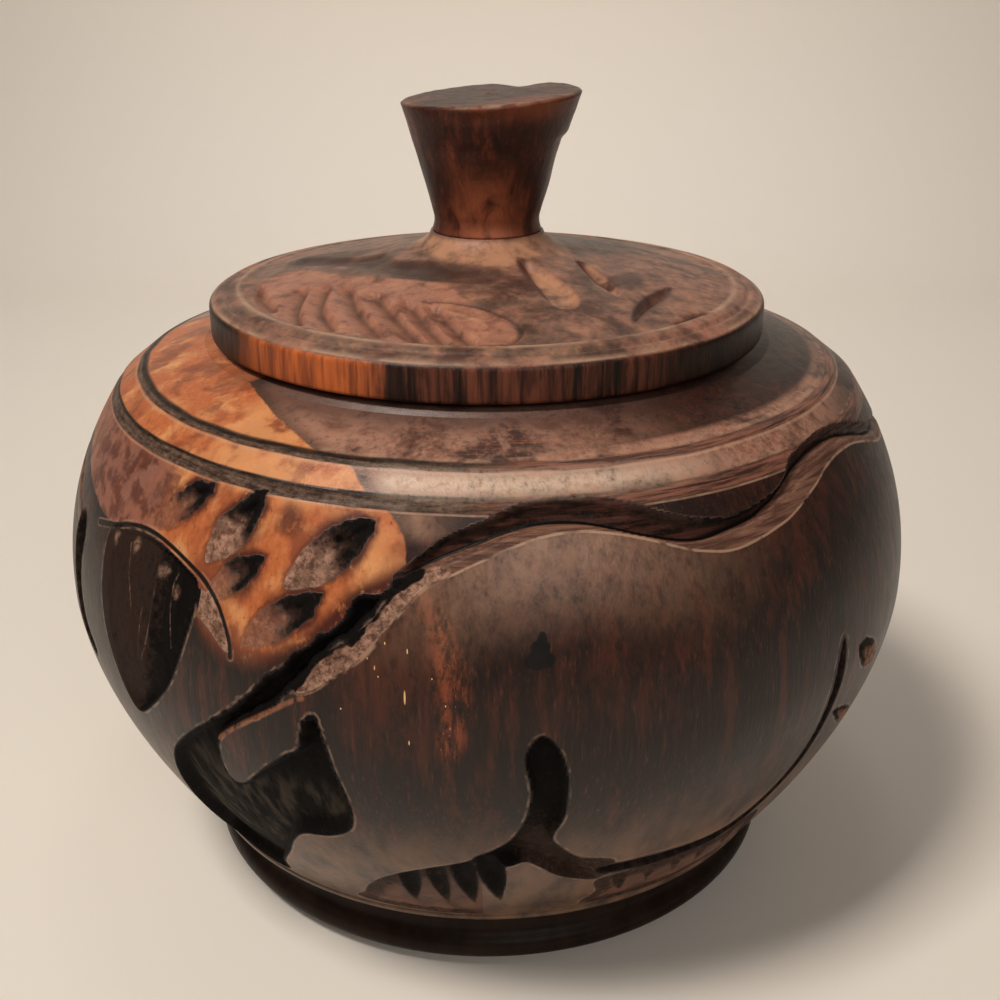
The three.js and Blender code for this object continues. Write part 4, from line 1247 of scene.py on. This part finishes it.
def sap_side(wood, colour, speckle):
    """The pale side of the log, with its crisp border and its dark red zones."""
    edge = wood.mask("sap") + (wood.noise(1, 0.5) - 0.5) * 0.7
    lumps = wood.over(LUMPS_DARK, (wood.noise(1, 0.35, 4, 0.6).band(0.42, 0.58), LUMPS))
    sap = wood.over(
        wood.sapwood(),
        (wood.mask("glow") * wood.noise(1, 0.3).band(0.34, 0.56) * 0.75, SAP_PALE),
        (wood.mask("deep") * speckle.band(0.2, 0.5) * 0.9, SAP_DEEP),
        (wood.mask("burn") * speckle.band(0.25, 0.5), BURNT),
        (wood.mask("lumps") * 0.85, lumps),
    )
    blurred = edge.band(-1.5, 2.5) * wood.z.band(64, 60)
    crisp = edge.band(-0.15, 0.15) * wood.z.band(60, 64)
    return wood.over(colour, (edge.band(-2.2, -0.1) * 0.55, HEART_BLACK), (crisp + blurred, sap))


def ridge_colours(wood, colour, fibre):
    low, deepest, top = (wood.mask(name) for name in ("ridge_low", "ridge_deep", "ridge_top"))
    combed = wood.noise(1, 2.2, 4, 0.7, around=0.06)
    wall = wood.over(
        HEART_DARK,
        (wood.noise(1, 1.6, 4, 0.6, around=0.1).band(0.36, 0.72), WALL_BROWN),
        (fibre.band(0.52, 0.66) * 0.5, WALL_BROWN),
    )
    worn = wood.noise(1, 0.35, 3, 0.5).band(0.35, 0.55) * deepest.band(0.3, -0.3)
    return wood.over(
        colour,
        (deepest.band(-0.1, 0.1) * top.band(-0.1, 0.1), wall),
        (low.band(-0.05, 0.1) * deepest.band(0.05, -0.05) * 0.9,
         wood.over(BEVEL_DARK, (combed.band(0.38, 0.64), BEVEL))),
        # Painted shade: a black line along the groove's crease
        (deepest.line(0, 0.2) * low.band(-0.3, 0) * top.band(-0.3, 0), CHAR_AND_SHADE_BLACK),
        # A pale line along the groove's lower edge, partly wear and partly a painted highlight
        (low.line(0, 0.14) * worn * 0.65, PALE),
    )


def ring_colours(wood, colour, fibre):
    """The channels' floors, torn on the sapwood's side and streaked round the jar elsewhere, with a painted
    shade line under each channel's upper edge on the rough side and a painted highlight line just below each
    channel.
    """
    height, rough_side = wood.mask("height"), wood.mask("rough_ring")
    fibres = wood.noise(1, 2.0, 5, 0.7, around=0.16) * 0.6 + fibre * 0.4
    floor = wood.over(
        RING_DARK,
        (wood.noise(1, 2.6, 4, 0.7, around=0.06).band(0.38, 0.62), RING),
        (rough_side.band(0.5, 0.9), wood.over(RING_ROUGH_DARK, (fibres.band(0.4, 0.66), RING_ROUGH))),
    )
    seen = rough_side.band(0.1, 0.4)
    for low, high, _ in RING_CHANNELS:
        colour = wood.over(
            colour,
            (height.band(low - 0.05, low + 0.1) * height.band(high + 0.05, high - 0.1) * seen, floor),
            # Painted shade: a black line under each channel's upper edge
            (height.line(high - 0.1, 0.14) * rough_side.band(0.3, 1) * 0.75, CHAR_AND_SHADE_BLACK),
            # Painted highlight: a pale line just below each channel
            (height.line(low - 0.14, 0.11) * seen * 0.35, PALE),
        )
    return colour


def edge_lines(wood, colour, speckle):
    """The thin drawn lines: pale lines along edges of cuts, partly wear and partly painted highlights, the
    black arc over the ear with a painted highlight beside it, and the island's and the shelf's lips.
    """
    worn = wood.noise(1, 0.4, 4, 0.6).band(0.42, 0.6)
    mauve = wood.mask("mauve")
    whole = mauve.band(0.8, 0.98).most(mauve.band(0.02, 0))
    edge = wood.mask("inside").line(-0.18, 0.16) * wood.mask("sap").band(0.4, -0.4) * whole
    arc, lip, shelf, scratch = (wood.mask(name) - EDGE_REACH for name in ("arc", "lip", "shelf", "scratch"))
    return wood.over(
        colour,
        # Pale lines along the edges of cuts, partly wear and partly painted highlights, then the arc and its
        # painted highlight
        (edge * worn * 0.3, PALE),
        (arc.band(-0.36, -0.2), CHAR_AND_SHADE_BLACK),
        (arc.line(-0.5, 0.12) * worn * 0.3, PALE),
        (lip.band(-0.5, -0.1) * speckle.band(0.35, 0.55) * 0.6, CHIP),
        (scratch.band(-0.22, -0.02) * speckle.band(0.42, 0.62) * 0.42, TORN),
        (shelf.band(-0.34, -0.08) * worn * 0.6, PALE),
    )


def lid_wood():
    wood = Wood("lid_wood")
    x, leaf, sap = wood.x, wood.mask("leaf"), wood.mask("sap")
    cloud = wood.noise(1, 0.14, 4, 0.6, 0.8)
    mottle = wood.noise(1, 0.34, 5, 0.6)
    stain = wood.noise(1, 0.1, 5, 0.62, 0.3).band(0.48, 0.62)
    upper = wood.over(
        MAUVE,
        (cloud.band(0.4, 0.6), MAUVE_GREY),
        (leaf.most(x.band(16, 30) * 0.5) * 0.65, MAUVE_PINK),
        (mottle.band(0.48, 0.72) * 0.4, TAN),
        (mottle.band(0.52, 0.3) * 0.6, MAUVE_DARK),
        (wood.noise(0.4, 1.2, 5, 0.7).band(0.52, 0.3) * 0.35, MAUVE_DARK),
        (stain * leaf.band(1, 0) * 0.75, MAUVE_DARK),
    )
    streak = wood.noise(0.06, 0.7, 5, 0.62)
    soft = wood.noise(0.3, 0.3, 4, 0.6)
    faded = (sap + (streak - 0.5) * 12).band(0.5, 6)
    orange = wood.over(SAP_RED, (streak.band(0.34, 0.6), RIM_ORANGE), (soft.band(0.5, 0.64) * 0.5, SAP_RED))
    brown = wood.over(
        HEART_DARK, (streak.band(0.36, 0.66), RIM_BROWN), (soft.band(0.52, 0.4) * 0.6, HEART_BLACK))
    colour = wood.over(
        brown,
        (faded * sap.band(0, 0.3), orange),
        (sap.line(-0.9, 0.9) * x.band(-30, -20) * 0.8, HEART_BLACK),
        (x.band(14, 32), wood.heartwood()),
        (x.band(-27, -35) * 0.95, wood.heartwood(HEART_DARK, RIM_DARK)),
        (wood.z.band(LID_EDGE_Z - 0.1, LID_EDGE_Z + 0.3), upper),
        (wood.mask("shade") * 0.9, MAUVE_DARK),
        (wood.mask("red") * 0.8, BURNT),
        # Pale tan: the apron's own colour, and painted highlights on the lobe's crest and the drops' floors
        (wood.mask("pale") * wood.noise(1, 0.3, 4, 0.6).band(0.3, 0.6) * 0.8, TAN),
        # Painted highlights, partly wear, along the border and the top's outer edge
        (wood.mask("wear_and_highlight") * cloud.band(0.35, 0.6) * 0.7, PALE),
    )
    return wood.finish(colour, wood.noise(0.3, 0.8) * 0.24 + 0.28, wood.noise(0.15, 2.6, 4, 0.65))


def knob_wood():
    wood = Wood("knob_wood")
    patch = wood.noise(0.5, 0.22, 4, 0.6, 0.5)
    colour = wood.over(
        wood.heartwood(KNOB_DARK, KNOB_RED),
        (patch.band(0.5, 0.62) * 0.6, KNOB_DARK),
        (wood.mask("tan") * patch.band(0.68, 0.4), KNOB_TAN),
        (wood.mask("rim") * 0.6, RUST_RED),
        # Painted highlight on the top lip
        (wood.mask("lip") * wood.noise(1, 0.3, 4, 0.6).band(0.42, 0.62) * 0.7, PALE),
    )
    return wood.finish(colour, wood.noise(0.3, 0.8) * 0.24 + 0.26, wood.noise(0.15, 2.6, 4, 0.65))


# Stage

CAMERA_PLACE = (1.93, -185.6, 133.3)
CAMERA_PITCH = 23.127
CAMERA_LENS = 45
BACKDROP_Y = 480
BACKDROP_BEND = 120
BACKDROP_TOP = 1200
FLOOR_REACH = 1500
FLOOR_COLOUR = srgb(242, 232, 220)


def stage():
    camera = bpy.data.cameras.new("camera")
    camera.lens = CAMERA_LENS
    camera.clip_start = 0.01
    holder = bpy.data.objects.new("camera", camera)
    holder.location = Vector(CAMERA_PLACE) * MM
    holder.rotation_euler = Euler((math.radians(90 - CAMERA_PITCH), 0, 0))
    bpy.context.collection.objects.link(holder)
    bpy.context.scene.camera = holder
    cove()
    lamp("key", (-240, -230, 620), (160, 160), 1.12, (1.0, 0.95, 0.88), spread=110)
    lamp("front", (185, -630, 432), (440, 200), 0.28, (1.0, 0.97, 0.93), spread=90)
    lamp("top", (20, 60, 620), (110, 110), 0.12, (1.0, 0.98, 0.95))
    lamp("wall", (0, 150, 520), (400, 200), 0.42, (1.0, 0.98, 0.96), aim=(0, BACKDROP_Y, 120), spread=110)
    world = bpy.data.worlds.new("world")
    world.use_nodes = True
    background = world.node_tree.nodes["Background"]
    background.inputs["Color"].default_value = (1.0, 0.95, 0.9, 1)
    background.inputs["Strength"].default_value = 0.11
    bpy.context.scene.world = world
    bpy.context.scene.view_settings.view_transform = "Standard"


def cove():
    """A floor that curves up into a backdrop."""
    line = [[-FLOOR_REACH, 0]]
    for turn in np.radians(np.linspace(0, 90, 13)):
        line.append([
            BACKDROP_Y - BACKDROP_BEND * (1 - math.sin(turn)), BACKDROP_BEND * (1 - math.cos(turn))])
    line.append([BACKDROP_Y, BACKDROP_TOP])
    vertices = [(x * MM, y * MM, z * MM) for x in (-FLOOR_REACH, FLOOR_REACH) for y, z in line]
    count = len(line)
    faces = [(i, i + count, i + count + 1, i + 1) for i in range(count - 1)]
    mesh = bpy.data.meshes.new("cove")
    mesh.from_pydata(vertices, [], faces)
    mesh.shade_smooth()
    floor = bpy.data.objects.new("cove", mesh)
    bpy.context.collection.objects.link(floor)
    material = bpy.data.materials.new("cove")
    material.use_nodes = True
    shader = material.node_tree.nodes["Principled BSDF"]
    shader.inputs["Base Color"].default_value = FLOOR_COLOUR
    shader.inputs["Roughness"].default_value = 0.9
    mesh.materials.append(material)


def lamp(name, place, size, power, colour, aim=(0, 0, 50), spread=180):
    light = bpy.data.lights.new(name, "AREA")
    light.shape = "RECTANGLE"
    light.size, light.size_y = (side * MM for side in size)
    light.energy = power
    light.color = colour
    light.spread = math.radians(spread)
    holder = bpy.data.objects.new(name, light)
    holder.location = Vector(place) * MM
    towards = Vector(aim) * MM - holder.location
    holder.rotation_euler = towards.to_track_quat("-Z", "Y").to_euler()
    bpy.context.collection.objects.link(holder)


def dress(piece, materials, body, node):
    for material in materials:
        piece.data.materials.append(material)
    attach(piece, body)
    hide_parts(node)


stage()
polished_and_cut = [body_wood("body_wood", WAXED_IOR), body_wood("body_wood_cut", CUT_IOR)]
dress(jar_body(), polished_and_cut, "jar", "jar_body")
dress(lid(), [lid_wood()], "lid", "lid")
dress(knob(), [knob_wood()], "lid", "knob")
